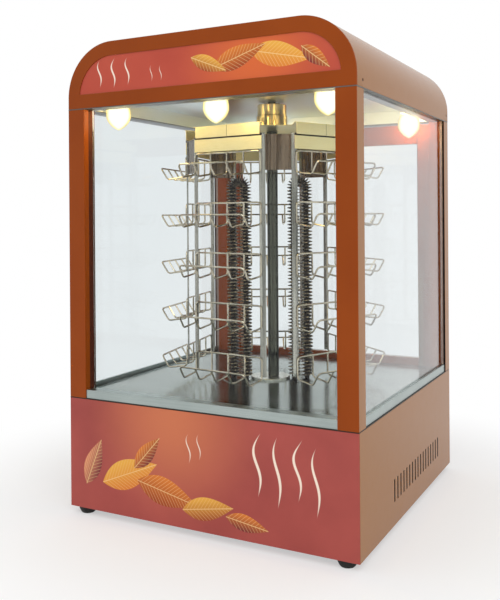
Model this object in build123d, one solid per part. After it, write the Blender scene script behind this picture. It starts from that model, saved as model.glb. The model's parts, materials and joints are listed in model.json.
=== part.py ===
from build123d import *
import math
import os

# Sweet potato roaster: a counter-top glass cabinet with a turning five-sided rack of wire baskets
# around its column and two finned heaters. Millimetres. X runs to the right of the printed front,
# Y to the rear door, Z up. The model is drawn about the rack's axis with the feet at Z = 0 and moved
# at the end, so that the origin is the middle of the object's footprint.

# Cabinet
width = 550.0
depth = 550.0
sheet = 1.5
fold = 12.0
base_height = 195.0
cap_height = 116.0
cap_corner_radius = 95.0
post_width = 35.0
post_depth = 31.0
plate = 1.2

# Feet
foot_height = 12.0
foot_top_radius = 16.0
foot_bottom_radius = 13.0
foot_sides = 12
foot_side_inset = 26.0
foot_end_inset = 17.0

# Side vents
vent_count = 17
vent_pitch = 17.5
vent_width = 5.0
vent_height = 37.0
vent_lift = 40.0
vent_centre_y = 36.0

# Glass, sills and floor
glass = 4.0
front_glass_inset = 24.0
side_glass_inset = 7.0
glass_gap = 0.5
sill_height = 15.0
sill_inset = 2.0
floor_lift = 8.0
floor_gap = 2.0

# Cap front and ceiling
border = 25.0
front_plate = 2.0
banner_thickness = 3.0
banner_overlap = 8.0
ceiling_recess = 28.0
ceiling_seat = 3.0

# Lamps
lamp_side_inset = 69.0
lamp_end_inset = 58.0
lamp_sides = 8
bulb_radius = 22.5
bulb_drop = 63.0
bulb_neck_radius = 9.0
bulb_tip_angle = 75.0
bulb_waist_angle = 38.0
socket_radius = 14.0
socket_skirt_radius = 19.0
socket_drop = 11.0
socket_rise = 32.0
fit_gap = 0.3

# Rack
face_count = 5
tier_count = 5
face_apothem = 150.5
vertex_apothem = 165.0
first_face_angle = -96.2
upright_leg = 6.0
upright_wall = 1.5
upright_foot_lift = 4.0
rail_height = 28.0
rail_clearance = 3.0
skirt_height = 20.0
skirt_lap = 2.0
skirt_end = 3.0
lid_notch_apothem = 118.0
corner_plate_height = 63.0
corner_plate_drop = 2.0

# Baskets
wire_radius = 1.8
wire_sides = 4
cross_wires = 5
basket_floor_gap = 30.0
tier_pitch = 90.5
basket_back_width = 144.0
basket_front_width = 140.0
basket_bottom_depth = 38.0
basket_bottom_drop = 5.0
basket_rim_depth = 52.0
basket_back_height = 38.0
basket_rim_height = 17.0

# Drive
shaft_radius = 7.0
running_gap = 0.05
shaft_hole_gap = 2.0
drive_sides = 12
hub_radius = 30.0
hub_sides = 24
hub_height = 51.3
hub_clearance = 5.0
column_radius = 10.5
column_seat_radius = 38.0
column_seat_height = 4.0
collar_radius = 15.0
collar_height = 8.0
bush_radius = 11.0
housing_radius = 17.0
housing_flange_width = 64.0
housing_flange = 5.0
housing_height = 18.0
bracket_height = 34.0
bracket_length = 110.0
bracket_width = 70.0
bracket_foot = 20.0
gearbox_width = 70.0
gearbox_height = 18.0
gearbox_wall = 1.5
shaft_end_gap = 1.5
motor_radius = 29.0
motor_height = 24.0

# Heaters
heater_count = 2
first_heater_angle = 28.0
heater_seat_gap = 4.0
heater_base_shift = -7.0
heater_leg_spacing = 24.6
heater_height = 396.0
fin_radius = 12.0
fin_root_radius = 6.0
fin_pitch = 24.0
bend_fin_thickness = 5.0
bend_steps = 6
heater_sides = 6
terminal_radius = 5.0
terminal_length = 10.0
terminal_tail = 20.0
heater_well_gap = 3.0
heater_well_sides = 12
heater_base_lap = 6.0
heater_base_sides = 24
heater_nut_radius = 9.0
heater_nut_height = 6.0

# Rear door
door_gap = 1.0
door_lift = 2.5
door_drop = 3.0
door_thickness = 18.0
door_stile = 27.0
door_bottom_rail = 18.0
door_top_rail = 40.0
door_tube_wall = 1.5
handle_length = 110.0
handle_reach = 28.0
handle_width = 12.0
handle_bar = 10.0
handle_round = 7.0
handle_height = 250.0
hinge_height = 60.0
hinge_leaf_width = 24.0
hinge_leaf = 2.0
hinge_barrel_radius = 5.0
hinge_pin_radius = 2.5
hinge_pin_head = 2.0
hinge_sides = 8
hinge_offset = 90.0
hinge_clearance = 0.4

# Controls on the rear of the base
control_lift = 105.0
knob_x = -150.0
knob_radius = 20.0
knob_depth = 18.0
knob_skirt = 4.0
knob_skirt_sides = 24
knob_grip_radius = 14.0
knob_rib_width = 6.0
knob_rib_rise = 3.0
spindle_radius = 3.0
spindle_depth = 20.0
spindle_clearance = 1.0
control_sides = 8
thermostat_size = 42.0
thermostat_depth = 30.0
switch_pitch = 62.0
switch_count = 2
switch_width = 20.0
switch_height = 27.0
switch_depth = 22.0
switch_wall = 2.0
switch_bezel = 2.0
rocker_tilt = 7.0
rocker_gap = 0.4
rocker_swing_gap = 1.7
rocker_pivot_depth = 7.0
rocker_heel = 6.0
rocker_waist = 5.0
rocker_crown = 7.5
rocker_pin_radius = 1.5
rocker_pin_seat = 1.0
pilot_radius = 5.0
pilot_bezel_radius = 7.5
pilot_lens_radius = 3.5
pilot_lift = 40.0
pilot_depth = 16.0
pilot_dome = 5.0
gland_inset = 75.0
gland_lift = 45.0
gland_radius = 8.0
gland_nut_radius = 12.0
gland_nut_depth = 8.0
gland_reach = 16.0
gland_bore_radius = 4.0
gland_sides = 12
nut_sides = 6
terminal_block_size = (70.0, 30.0, 22.0)
terminal_block_inset = 90.0

# Levels and faces that several pieces share
base_bottom = foot_height
base_top = base_bottom + base_height
deck_top = base_top + sheet
floor_top = deck_top + floor_lift
half_width = width / 2
half_depth = depth / 2
post_inner_x = half_width - post_width
post_inner_y = half_depth - post_depth
front_glass_y = -half_depth + front_glass_inset
side_glass_x = half_width - side_glass_inset
face_step = 360 / face_count
basket_bottoms = [floor_top + basket_floor_gap + i * tier_pitch for i in range(tier_count)]
rail_bottom = basket_bottoms[-1] + basket_back_height + rail_clearance
rail_top = rail_bottom + rail_height
skirt_bottom = rail_top - skirt_lap
pan_under = skirt_bottom + skirt_height
pan_top = pan_under + plate
hub_top = pan_top + hub_height
ceiling_under = hub_top + hub_clearance
ceiling_top = ceiling_under + plate
chamber_height = ceiling_under - ceiling_recess - base_top
cap_bottom = base_top + chamber_height
frame_top = cap_bottom + sheet
cap_top = cap_bottom + cap_height
column_seat_top = floor_top + column_seat_height
heater_circle = column_seat_radius + heater_seat_gap + terminal_radius + heater_leg_spacing / 2
heater_reach = heater_circle + heater_leg_spacing / 2 + heater_nut_radius
heater_well_radius = (heater_reach + heater_well_gap) / math.cos(math.pi / heater_well_sides)
heater_base_radius = heater_well_radius + heater_base_lap
door_bottom = deck_top + door_lift
door_top = cap_bottom - door_drop
door_inner_y = half_depth - door_thickness
hinge_x = post_inner_x - door_gap / 2
hinge_y = half_depth + hinge_barrel_radius + hinge_clearance
hinge_levels = (door_bottom + hinge_offset, door_top - hinge_offset)
bracket_top = ceiling_top + bracket_height
control_z = base_bottom + control_lift
switch_xs = [i * switch_pitch for i in range(switch_count)]
gland_x = half_width - gland_inset
rear_reach = max(handle_reach, fit_gap + knob_depth, gland_reach)

# How far a cutting solid runs past the faces that it cuts
overcut = 1.0


def block(x0, x1, y0, y1, z0, z1):
    """A block between two opposite corners."""
    return Pos(x0, y0, z0) * Box(x1 - x0, y1 - y0, z1 - z0, align=(Align.MIN,) * 3)


def disc(radius, z0, z1):
    """An upright cylinder on the rack's axis."""
    return Pos(0, 0, z0) * Cylinder(radius, z1 - z0, align=(Align.CENTER, Align.CENTER, Align.MIN))


def prism(radius, sides, z0, z1, x=0.0, y=0.0):
    """An upright many-sided bar, with the radius at its corners."""
    return Pos(x, y, z0) * extrude(RegularPolygon(radius, sides), z1 - z0)


def stub(radius, sides, y0, y1, x, z):
    """A many-sided bar that points out of the rear face."""
    return Pos(x, y0, z) * Rot(-90, 0, 0) * extrude(RegularPolygon(radius, sides), y1 - y0)


def frustum(radius, end_radius, sides, height):
    """An upright many-sided bar that narrows upwards."""
    slope = (radius - end_radius) * math.cos(math.pi / sides) / height
    return extrude(RegularPolygon(radius, sides), height, taper=math.degrees(math.atan(slope)))


def around(radius, sides, gap):
    """The corner radius of a many-sided hole that clears a bar of this radius all round."""
    return (radius + gap) / math.cos(math.pi / sides)


def group(solids):
    """Separate solids that share one node."""
    return Compound([solid for shape in solids for solid in shape.solids()])


def mirrored(solid):
    """The same solid on the left and on the right."""
    return [mirror(solid, Plane.YZ), solid]


# Base: folded panels, bottom plate, deck and feet


def upright_panel(y_face, inward):
    """The front or back panel, with its upper and lower edges folded inwards."""
    y0, y1 = sorted((y_face, y_face + inward * sheet))
    f0, f1 = sorted((y_face + inward * sheet, y_face + inward * (sheet + fold)))
    x = half_width - sheet
    panel = block(-half_width, half_width, y0, y1, base_bottom, base_top)
    panel += block(-x, x, f0, f1, base_bottom, base_bottom + sheet)
    return panel + block(-x, x, f0, f1, base_top - sheet, base_top)


def side_panel():
    """The right panel with its folded edges and its row of vent slots."""
    y = half_depth - sheet
    x = half_width - sheet
    panel = block(x, half_width, -y, y, base_bottom, base_top)
    panel += block(x - fold, x, -y + fold, y - fold, base_bottom, base_bottom + sheet)
    panel += block(x - fold, x, -y + fold, y - fold, base_top - sheet, base_top)
    first = vent_centre_y - vent_pitch * (vent_count - 1) / 2
    slot_z = base_bottom + vent_lift
    for i in range(vent_count):
        y0 = first + i * vent_pitch - vent_width / 2
        panel -= block(x - sheet, half_width + sheet, y0, y0 + vent_width, slot_z, slot_z + vent_height)
    return panel


def base_back_panel():
    """The back panel with the holes for the controls and the cable gland."""
    panel = upright_panel(half_depth, -1)
    y0, y1 = half_depth - 2 * sheet, half_depth + sheet
    spindle_hole = around(spindle_radius, control_sides, spindle_clearance)
    panel -= stub(spindle_hole, control_sides, y0, y1, knob_x, control_z)
    panel -= stub(gland_radius, gland_sides, y0, y1, gland_x, base_bottom + gland_lift)
    for x in switch_xs:
        w, h = switch_width / 2, switch_height / 2
        panel -= block(x - w, x + w, y0, y1, control_z - h, control_z + h)
        panel -= stub(pilot_radius, control_sides, y0, y1, x, control_z + pilot_lift)
    return panel


def bottom_plate():
    x = half_width - sheet
    y = half_depth - sheet
    return block(-x, x, -y, y, base_bottom + sheet, base_bottom + 2 * sheet)


def rubber_feet():
    """Four rubber feet that narrow downwards from the panels' lower folds."""
    x = half_width - foot_side_inset
    y = half_depth - foot_end_inset
    foot = frustum(foot_top_radius, foot_bottom_radius, foot_sides, foot_height)
    foot = Pos(0, 0, base_bottom) * Rot(180, 0, 0) * foot
    return group(Pos(sx * x, sy * y, 0) * foot for sx in (-1, 1) for sy in (-1, 1))


def base_deck():
    """The plate that the posts stand on, open over the heater terminals."""
    deck = block(-half_width, half_width, -half_depth, half_depth, base_top, deck_top)
    z0, z1 = base_top - overcut, deck_top + overcut
    return deck - prism(heater_well_radius, heater_well_sides, z0, z1, heater_base_shift)


def floor_pan():
    """The shallow upturned pan that is the floor of the chamber, open round the heater base."""
    x = side_glass_x - glass - floor_gap
    y = post_inner_y - floor_gap / 2
    pan = block(-x, x, -y, y, deck_top, floor_top)
    pan -= block(-x + plate, x - plate, -y + plate, y - plate, deck_top - overcut, floor_top - plate)
    hole = around(heater_base_radius, heater_base_sides, fit_gap)
    return pan - prism(hole, heater_base_sides, deck_top - overcut, floor_top + overcut, heater_base_shift)


# Glass house: posts, sills, panes and top frame


def channel(x0, x1, y0, y1, along_x):
    """A folded sill strip, open underneath."""
    top = deck_top + sill_height
    low = deck_top - overcut
    strip = block(x0, x1, y0, y1, deck_top, top)
    if along_x:
        return strip - block(x0 - overcut, x1 + overcut, y0 + plate, y1 - plate, low, top - plate)
    return strip - block(x0 + plate, x1 - plate, y0 - overcut, y1 + overcut, low, top - plate)


def front_sill():
    return channel(-post_inner_x, post_inner_x, -half_depth + sill_inset, front_glass_y - glass_gap, True)


def side_sills():
    strip = channel(side_glass_x + glass_gap, half_width - sill_inset, -post_inner_y, post_inner_y, False)
    return group(mirrored(strip))


def post(side, end):
    """A square-cornered tube at one corner of the cabinet."""
    x0, x1 = sorted((side * post_inner_x, side * half_width))
    y0, y1 = sorted((end * post_inner_y, end * half_depth))
    tube = block(x0, x1, y0, y1, deck_top, cap_bottom)
    bore = block(x0 + sheet, x1 - sheet, y0 + sheet, y1 - sheet, deck_top - overcut, cap_bottom + overcut)
    return tube - bore


def front_glass():
    x = post_inner_x - glass_gap
    return block(-x, x, front_glass_y, front_glass_y + glass, deck_top, cap_bottom)


def side_glass(side):
    x0, x1 = sorted((side * (side_glass_x - glass), side * side_glass_x))
    y = post_inner_y - glass_gap
    return block(x0, x1, -y, y, deck_top, cap_bottom)


def top_frame():
    """Four flat rails on the posts, which the cap and the ceiling stand on."""
    z0, z1 = cap_bottom, frame_top
    cross = block(-half_width, half_width, post_inner_y, half_depth, z0, z1)
    rail = block(post_inner_x, half_width, -post_inner_y, post_inner_y, z0, z1)
    return group([cross, mirror(cross, Plane.XZ)] + mirrored(rail))


# Cap: arched shell, printed front, back, ceiling and lamps


def arch(inset, bottom, y0, y1):
    """A slab with the cap's round-shouldered outline, set in by inset and cut off flat below."""
    radius = cap_corner_radius - inset
    tall = cap_height + radius
    outline = Pos(0, cap_top - inset - tall / 2) * Rectangle(width - 2 * inset, tall)
    outline = fillet(outline.vertices().group_by(Axis.Y)[-1], radius)
    slab = extrude(Plane.XZ.offset(-y1) * outline, y1 - y0)
    return slab & block(-half_width, half_width, y0, y1, bottom, cap_top)


def cap_shell():
    y0 = -half_depth + front_plate
    y1 = half_depth - sheet
    shell = arch(0, frame_top, y0, y1)
    return shell - arch(sheet, frame_top - overcut, y0 - overcut, y1 + overcut)


def cap_front_frame():
    """The painted border round the printed panel."""
    y0, y1 = -half_depth, -half_depth + front_plate
    frame = arch(0, frame_top, y0, y1)
    return frame - arch(border, frame_top + border, y0 - overcut, y1 + overcut)


def banner_panel():
    y0 = -half_depth + front_plate
    inset = border - banner_overlap
    return arch(inset, frame_top + inset, y0, y0 + banner_thickness)


def cap_back_panel():
    return arch(0, frame_top, half_depth - sheet, half_depth)


def lamp_places():
    """Three lamps along the front and one in the right rear corner."""
    x = half_width - lamp_side_inset
    y = half_depth - lamp_end_inset
    return [Pos(across, -y, 0) for across in (-x, 0, x)] + [Pos(x, y, 0)]


def ceiling_pan():
    """The bright ceiling: an upturned pan with holes for the lamps and the drive shaft."""
    x = post_inner_x + ceiling_seat
    y = post_inner_y + ceiling_seat
    pan = block(-x, x, -y, y, frame_top, ceiling_top)
    pan -= block(-x + plate, x - plate, -y + plate, y - plate, frame_top - overcut, ceiling_under)
    z0, z1 = ceiling_under - overcut, ceiling_top + overcut
    lamp_hole = prism(socket_radius + fit_gap, lamp_sides, z0, z1)
    pan -= [place * lamp_hole for place in lamp_places()]
    return pan - prism(around(shaft_radius, drive_sides, shaft_hole_gap), drive_sides, z0, z1)


def lamp_sockets():
    """Ceramic sockets: a skirt under the ceiling and a neck up through it."""
    socket = prism(socket_skirt_radius, lamp_sides, ceiling_under - socket_drop, ceiling_under)
    socket += prism(socket_radius, lamp_sides, ceiling_under, ceiling_top + socket_rise)
    return group(place * socket for place in lamp_places())


def ball_steps(angles):
    """Tapered steps of the bulb's ball, from its middle upwards, between rings at these angles."""
    steps = []
    for low, high in zip(angles, angles[1:]):
        z0, z1 = (bulb_radius * math.sin(math.radians(angle)) for angle in (low, high))
        r0, r1 = (bulb_radius * math.cos(math.radians(angle)) for angle in (low, high))
        steps.append(Pos(0, 0, z0) * frustum(r0, r1, lamp_sides, z1 - z0))
    return steps


def lamp_bulbs():
    """Round bulbs, each with a neck up to its socket."""
    centre = ceiling_under - bulb_drop + bulb_radius
    neck_angle = math.degrees(math.acos(bulb_neck_radius / bulb_radius))
    neck_start = bulb_radius * math.sin(math.radians(neck_angle))
    neck_end = ceiling_under - socket_drop - centre
    neck = prism(bulb_neck_radius, lamp_sides, neck_start, neck_end)
    upper = ball_steps((0, bulb_waist_angle, neck_angle))
    lower = [mirror(step, Plane.XY) for step in ball_steps((0, bulb_waist_angle, bulb_tip_angle))]
    bulb = neck + upper + lower
    return group(place * Pos(0, 0, centre) * bulb for place in lamp_places())


# Drive: gear motor in the cap, bush, shaft and hub


def motor_bracket():
    """A folded hat bracket that holds the gear motor over the shaft."""
    x, y = bracket_length / 2, bracket_width / 2
    bridge = block(-x, x, -y, y, ceiling_top, bracket_top)
    bridge -= block(
        -x + sheet, x - sheet, -y - overcut, y + overcut, ceiling_top - overcut, bracket_top - sheet
    )
    bridge += mirrored(block(x, x + bracket_foot, -y, y, ceiling_top, ceiling_top + sheet))
    hole = around(shaft_radius, drive_sides, shaft_hole_gap)
    return bridge - prism(hole, drive_sides, bracket_top - sheet - overcut, bracket_top + overcut)


def gear_motor():
    """A motor can on its square gearbox, with the output bore underneath."""
    half = gearbox_width / 2
    top = bracket_top + gearbox_height
    unit = block(-half, half, -half, half, bracket_top, top)
    unit += prism(motor_radius, drive_sides, top, top + motor_height)
    return unit - shaft_hole(bracket_top, top - gearbox_wall)


def shaft_hole(z0, z1):
    """What is cut from a piece for the shaft to pass or seat in it."""
    return prism(around(shaft_radius, drive_sides, running_gap), drive_sides, z0 - overcut, z1)


def bearing_housing():
    """A square-flanged boss on the ceiling, with the bush's seat through it."""
    half = housing_flange_width / 2
    z0, z1 = ceiling_top, ceiling_top + housing_height
    housing = block(-half, half, -half, half, z0, z0 + housing_flange)
    housing += prism(housing_radius, drive_sides, z0, z1)
    return housing - prism(bush_radius, drive_sides, z0 - overcut, z1 + overcut)


def shaft_bush():
    z0, z1 = ceiling_top, ceiling_top + housing_height
    bush = prism(bush_radius, drive_sides, z0, z1)
    return bush - disc(shaft_radius + running_gap, z0 - overcut, z1 + overcut)


def drive_shaft():
    """The shaft through the hub, widened under the hood to a column that ends just above its seat."""
    top = bracket_top + gearbox_height - gearbox_wall - shaft_end_gap
    column = prism(column_radius, hub_sides, column_seat_top + fit_gap, pan_under)
    return column + disc(shaft_radius, pan_under, top)


def thrust_collar():
    """The collar that hangs the rack on the bush."""
    z0 = ceiling_top + housing_height + fit_gap
    z1 = z0 + collar_height
    return prism(collar_radius, drive_sides, z0, z1) - shaft_hole(z0, z1 + overcut)


def rack_hub():
    """The polished sleeve between the hood and the ceiling."""
    return prism(hub_radius, hub_sides, pan_top, hub_top) - shaft_hole(pan_top, hub_top + overcut)


# Rack: ten-cornered frame with long basket faces and short corner faces


def half_side(own, other):
    """Half the length of a side, from its own apothem and its neighbours'."""
    turn = math.radians(face_step / 2)
    return (other - own * math.cos(turn)) / math.sin(turn)


def face_angles():
    return [first_face_angle + i * face_step for i in range(face_count)]


def outward(angle, distance, z):
    """A place on a side of the rack: X along the side, Y outwards."""
    return Pos(0, 0, z) * Rot(0, 0, angle - 90) * Pos(0, distance, 0)


def rack_outline(offset):
    """The ten-cornered outline, pushed outwards by offset."""
    long_side = face_apothem + offset
    half = half_side(long_side, vertex_apothem + offset)
    sides = [outward(angle, long_side, 0) for angle in face_angles()]
    corners = [side * Pos(x, 0, 0) for side in sides for x in (half, -half)]
    return make_face(Polyline(*[corner.position for corner in corners], close=True))


def slab_on_face(angle, apothem, half, z0, z1):
    """A sheet strip on the outside of one side of the rack."""
    return outward(angle, apothem, 0) * block(-half, half, 0, plate, z0, z1)


def rack_uprights():
    """Ten folded uprights: a ring of sheet with a window cut in every side."""
    z0 = basket_bottoms[0] + upright_foot_lift
    ring = extrude(Pos(0, 0, z0) * (rack_outline(0) - rack_outline(-upright_wall)), rail_top - z0)
    sides = [(0, face_apothem, vertex_apothem), (face_step / 2, vertex_apothem, face_apothem)]
    for turn, own, other in sides:
        half = half_side(own, other) - upright_leg
        reach = 2 * upright_wall
        window = block(-half, half, -reach, reach, z0 - overcut, rail_top + overcut)
        ring -= [outward(angle + turn, own, 0) * window for angle in face_angles()]
    return group(ring.solids())


def hood_rails():
    half = half_side(face_apothem, vertex_apothem)
    return group(slab_on_face(a, face_apothem, half, rail_bottom, rail_top) for a in face_angles())


def corner_plates():
    """Plates on the inside of the uprights, across the corner faces."""
    seat = vertex_apothem - upright_wall
    half = half_side(seat, face_apothem - upright_wall) - fit_gap
    z1 = rail_top - corner_plate_drop
    z0 = z1 - corner_plate_height
    return group(slab_on_face(a + face_step / 2, seat - plate, half, z0, z1) for a in face_angles())


def hood_pan():
    """The hood's lid, notched at the corner faces and folded down over the five rails."""
    lid = extrude(Pos(0, 0, pan_under) * rack_outline(2 * plate), plate)
    half = half_side(face_apothem, vertex_apothem) - skirt_end
    skirts = [slab_on_face(a, face_apothem + plate, half, skirt_bottom, pan_under) for a in face_angles()]
    notch_half = half_side(vertex_apothem, face_apothem)
    notch = block(
        -notch_half, notch_half, 0, vertex_apothem - lid_notch_apothem + 2 * plate + overcut,
        pan_under - overcut, pan_top + overcut,
    )
    notches = [outward(a + face_step / 2, lid_notch_apothem, 0) * notch for a in face_angles()]
    return lid - notches + skirts - shaft_hole(pan_under, pan_top + overcut)


def bent_wire(*points, close=False):
    """A wire bent at sharp corners along the points."""
    path = Polyline(*points, close=close)
    section = Plane(path @ 0, z_dir=path % 0) * RegularPolygon(wire_radius, wire_sides)
    return sweep(section, path, transition=Transition.RIGHT)


def cross_wire_points(share):
    """Back, bottom and slanted front of one cross wire, at a share of the half width."""
    back = share * basket_back_width / 2
    front = share * basket_front_width / 2
    bend = back + (front - back) * basket_bottom_depth / basket_rim_depth
    return [
        (back, 0, basket_back_height),
        (back, 0, 0),
        (bend, basket_bottom_depth, -basket_bottom_drop),
        (front, basket_rim_depth, basket_rim_height),
    ]


def basket():
    """One trough basket: a rim wire bent round all four sides, and cross wires between them."""
    shares = [2 * i / (cross_wires - 1) - 1 for i in range(cross_wires)]
    rim = bent_wire(*cross_wire_points(-1), *reversed(cross_wire_points(1)), close=True)
    return rim + [bent_wire(*cross_wire_points(share)) for share in shares[1:-1]]


def basket_tier(z, one):
    reach = face_apothem + wire_radius
    return group(outward(angle, reach, z) * one for angle in face_angles())


# Heaters: finned tubes bent to a hairpin, on a round base


def fin(thickness):
    """One fin: a many-sided disc that thins from its root to its rim."""
    half = frustum(fin_radius, fin_root_radius, heater_sides, thickness / 2)
    return half + mirror(half, Plane.XY)


def heater():
    """A tube bent to a hairpin, finned over both legs and the bend, with bare ends."""
    half = heater_leg_spacing / 2
    foot = floor_top - terminal_tail
    start = floor_top + terminal_length
    bend = floor_top + heater_height - fin_radius - half
    turns = [math.pi * i / bend_steps for i in range(bend_steps + 1)]
    arc = [(-half * math.cos(turn), 0, bend + half * math.sin(turn)) for turn in turns]
    path = Polyline((-half, 0, foot), *arc, (half, 0, foot))
    section = Plane(path @ 0, z_dir=path % 0) * RegularPolygon(terminal_radius, heater_sides)
    tube = sweep(section, path, transition=Transition.RIGHT)
    count = round((bend - start) / fin_pitch)
    pitch = (bend - start) / count
    leg_fin = fin(pitch)
    levels = [start + (i + 0.5) * pitch for i in range(count)]
    fins = [Pos(x, 0, z) * leg_fin for x in (-half, half) for z in levels]
    bend_fin = Pos(-half, 0, 0) * fin(bend_fin_thickness)
    bend_spaces = round(math.pi * half / fin_pitch)
    for i in range(1, bend_spaces):
        fins.append(Pos(0, 0, bend) * Rot(0, 180 * i / bend_spaces, 0) * bend_fin)
    return tube + fins


def heater_places():
    """The heaters' places, evenly spaced about the middle of their base."""
    middle = Pos(heater_base_shift, 0, 0)
    angles = [first_heater_angle + i * 360 / heater_count for i in range(heater_count)]
    return [middle * Rot(0, 0, angle) * Pos(heater_circle, 0, 0) for angle in angles]


def terminal_places():
    half = heater_leg_spacing / 2
    return [place * Pos(x, 0, 0) for place in heater_places() for x in (-half, half)]


def heater_base():
    """The round plate level with the floor that carries the heaters, with the column's raised seat."""
    base = prism(heater_base_radius, heater_base_sides, deck_top, floor_top, heater_base_shift)
    base += prism(column_seat_radius, heater_base_sides, floor_top, column_seat_top, heater_base_shift)
    hole = prism(terminal_radius + running_gap, heater_sides, deck_top - overcut, floor_top + overcut)
    return base - [place * hole for place in terminal_places()]


def heater_nuts():
    z0 = deck_top - heater_nut_height
    nut = prism(heater_nut_radius, nut_sides, z0, deck_top)
    nut -= prism(terminal_radius + running_gap, heater_sides, z0 - overcut, deck_top + overcut)
    return group(place * nut for place in terminal_places())


# Rear door with its hinges and pull


def door_frame():
    """Two stiles and two rails of rectangular tube."""
    outer = post_inner_x - door_gap
    inner = outer - door_stile
    y0, y1 = door_inner_y, half_depth
    wall = door_tube_wall
    stile = block(inner, outer, y0, y1, door_bottom, door_top)
    stile -= block(
        inner + wall, outer - wall, y0 + wall, y1 - wall, door_bottom - overcut, door_top + overcut
    )
    rails = []
    for z0, z1 in ((door_bottom, door_bottom + door_bottom_rail), (door_top - door_top_rail, door_top)):
        rail = block(-inner, inner, y0, y1, z0, z1)
        end = inner + overcut
        rails.append(rail - block(-end, end, y0 + wall, y1 - wall, z0 + wall, z1 - wall))
    return group(mirrored(stile) + rails)


def door_glass():
    x = post_inner_x - door_gap - door_stile
    y0 = door_inner_y + (door_thickness - glass) / 2
    return block(-x, x, y0, y0 + glass, door_bottom + door_bottom_rail, door_top - door_top_rail)


def door_handle():
    """A bow pull on the free stile."""
    x = -post_inner_x + door_gap + door_stile / 2
    z0 = door_bottom + handle_height - handle_length / 2
    y1 = half_depth + handle_reach
    bow = block(x - handle_width / 2, x + handle_width / 2, half_depth, y1, z0, z0 + handle_length)
    corners = bow.edges().filter_by(Axis.X).group_by(Axis.Y)[-1]
    bow = fillet(corners, handle_round)
    return bow - block(
        x - handle_width, x + handle_width, half_depth - overcut, y1 - handle_bar,
        z0 + handle_bar, z0 + handle_length - handle_bar,
    )


def hinge_leaf_solid(level, side):
    """A leaf and its half of the barrel: side 1 on the post, below, and -1 on the door, above."""
    half = hinge_height / 2
    z0, z1 = (level - half, level - running_gap) if side > 0 else (level + running_gap, level + half)
    near = hinge_barrel_radius + 2 * hinge_clearance
    x0, x1 = sorted((hinge_x + side * near, hinge_x + side * (near + hinge_leaf_width)))
    leaf = block(x0, x1, half_depth, half_depth + hinge_leaf, level - half, level + half)
    w0, w1 = sorted((hinge_x, hinge_x + side * near))
    leaf += block(w0, w1, half_depth + hinge_clearance, half_depth + hinge_leaf, z0, z1)
    leaf += prism(hinge_barrel_radius, hinge_sides, z0, z1, hinge_x, hinge_y)
    bore = around(hinge_pin_radius, hinge_sides, running_gap)
    return leaf - prism(bore, hinge_sides, z0 - overcut, z1 + overcut, hinge_x, hinge_y)


def hinge_leaves(side):
    return group(hinge_leaf_solid(level, side) for level in hinge_levels)


def hinge_pins():
    pins = []
    for level in hinge_levels:
        z0, z1 = level - hinge_height / 2, level + hinge_height / 2 + running_gap
        pin = prism(hinge_pin_radius, hinge_sides, z0, z1, hinge_x, hinge_y)
        head = prism(hinge_barrel_radius, hinge_sides, z1, z1 + hinge_pin_head, hinge_x, hinge_y)
        pins.append(pin + head)
    return group(pins)


# Controls on the rear of the base


def thermostat_body():
    """The thermostat behind the panel, with the bore that its spindle turns in."""
    half = thermostat_size / 2
    y1 = half_depth - sheet
    body = block(
        knob_x - half, knob_x + half, y1 - thermostat_depth, y1, control_z - half, control_z + half
    )
    bore = around(spindle_radius, control_sides, running_gap)
    return body - stub(bore, control_sides, y1 - spindle_depth, y1 + overcut, knob_x, control_z)


def thermostat_knob():
    """A skirted knob with a raised pointer bar, on its spindle."""
    y0 = half_depth + fit_gap
    y1 = y0 + knob_depth - knob_rib_rise
    knob = stub(knob_radius, knob_skirt_sides, y0, y0 + knob_skirt, knob_x, control_z)
    knob += stub(knob_grip_radius, knob_skirt_sides, y0 + knob_skirt, y1, knob_x, control_z)
    half = knob_rib_width / 2
    low, high = control_z - knob_grip_radius, control_z + knob_grip_radius
    knob += block(knob_x - half, knob_x + half, y1, y1 + knob_rib_rise, low, high)
    spindle_end = half_depth - sheet - spindle_depth + fit_gap
    return knob + stub(spindle_radius, control_sides, spindle_end, y0, knob_x, control_z)


def rocker_pivot_y():
    return half_depth + switch_bezel - rocker_pivot_depth


def cross_bar(radius, half_length):
    """A many-sided bar along X, centred on the origin."""
    return Rot(0, 90, 0) * extrude(RegularPolygon(radius, control_sides), half_length, both=True)


def switch_housings():
    """Snap-in switch bodies with a bezel on the panel and a socket for the rocker."""
    w, h = switch_width / 2, switch_height / 2
    back = half_depth - switch_depth
    front = half_depth + switch_bezel
    wall = switch_wall
    housing = block(-w, w, back, half_depth, -h, h)
    housing += block(-w - wall, w + wall, half_depth, front, -h - wall, h + wall)
    housing -= block(-w + wall, w - wall, back + wall, front + overcut, -h + wall, h - wall)
    pin_hole = around(rocker_pin_radius, control_sides, running_gap)
    housing -= Pos(0, rocker_pivot_y(), 0) * cross_bar(pin_hole, w)
    return group(Pos(x, 0, control_z) * housing for x in switch_xs)


def rocker(x):
    """A two-faced rocker on its own cross pin, resting on its upper half."""
    half_height = switch_height / 2 - switch_wall - rocker_swing_gap
    half_width_inside = switch_width / 2 - switch_wall
    profile = Polyline(
        (-rocker_heel, -half_height / 2), (-rocker_heel, half_height / 2), (0, half_height),
        (rocker_crown, half_height), (rocker_waist, 0), (rocker_crown, -half_height), (0, -half_height),
        close=True,
    )
    paddle = extrude(Plane.YZ * make_face(profile), half_width_inside - rocker_gap, both=True)
    paddle += cross_bar(rocker_pin_radius, half_width_inside + rocker_pin_seat)
    return Pos(x, rocker_pivot_y(), control_z) * Rot(-rocker_tilt, 0, 0) * paddle


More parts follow.
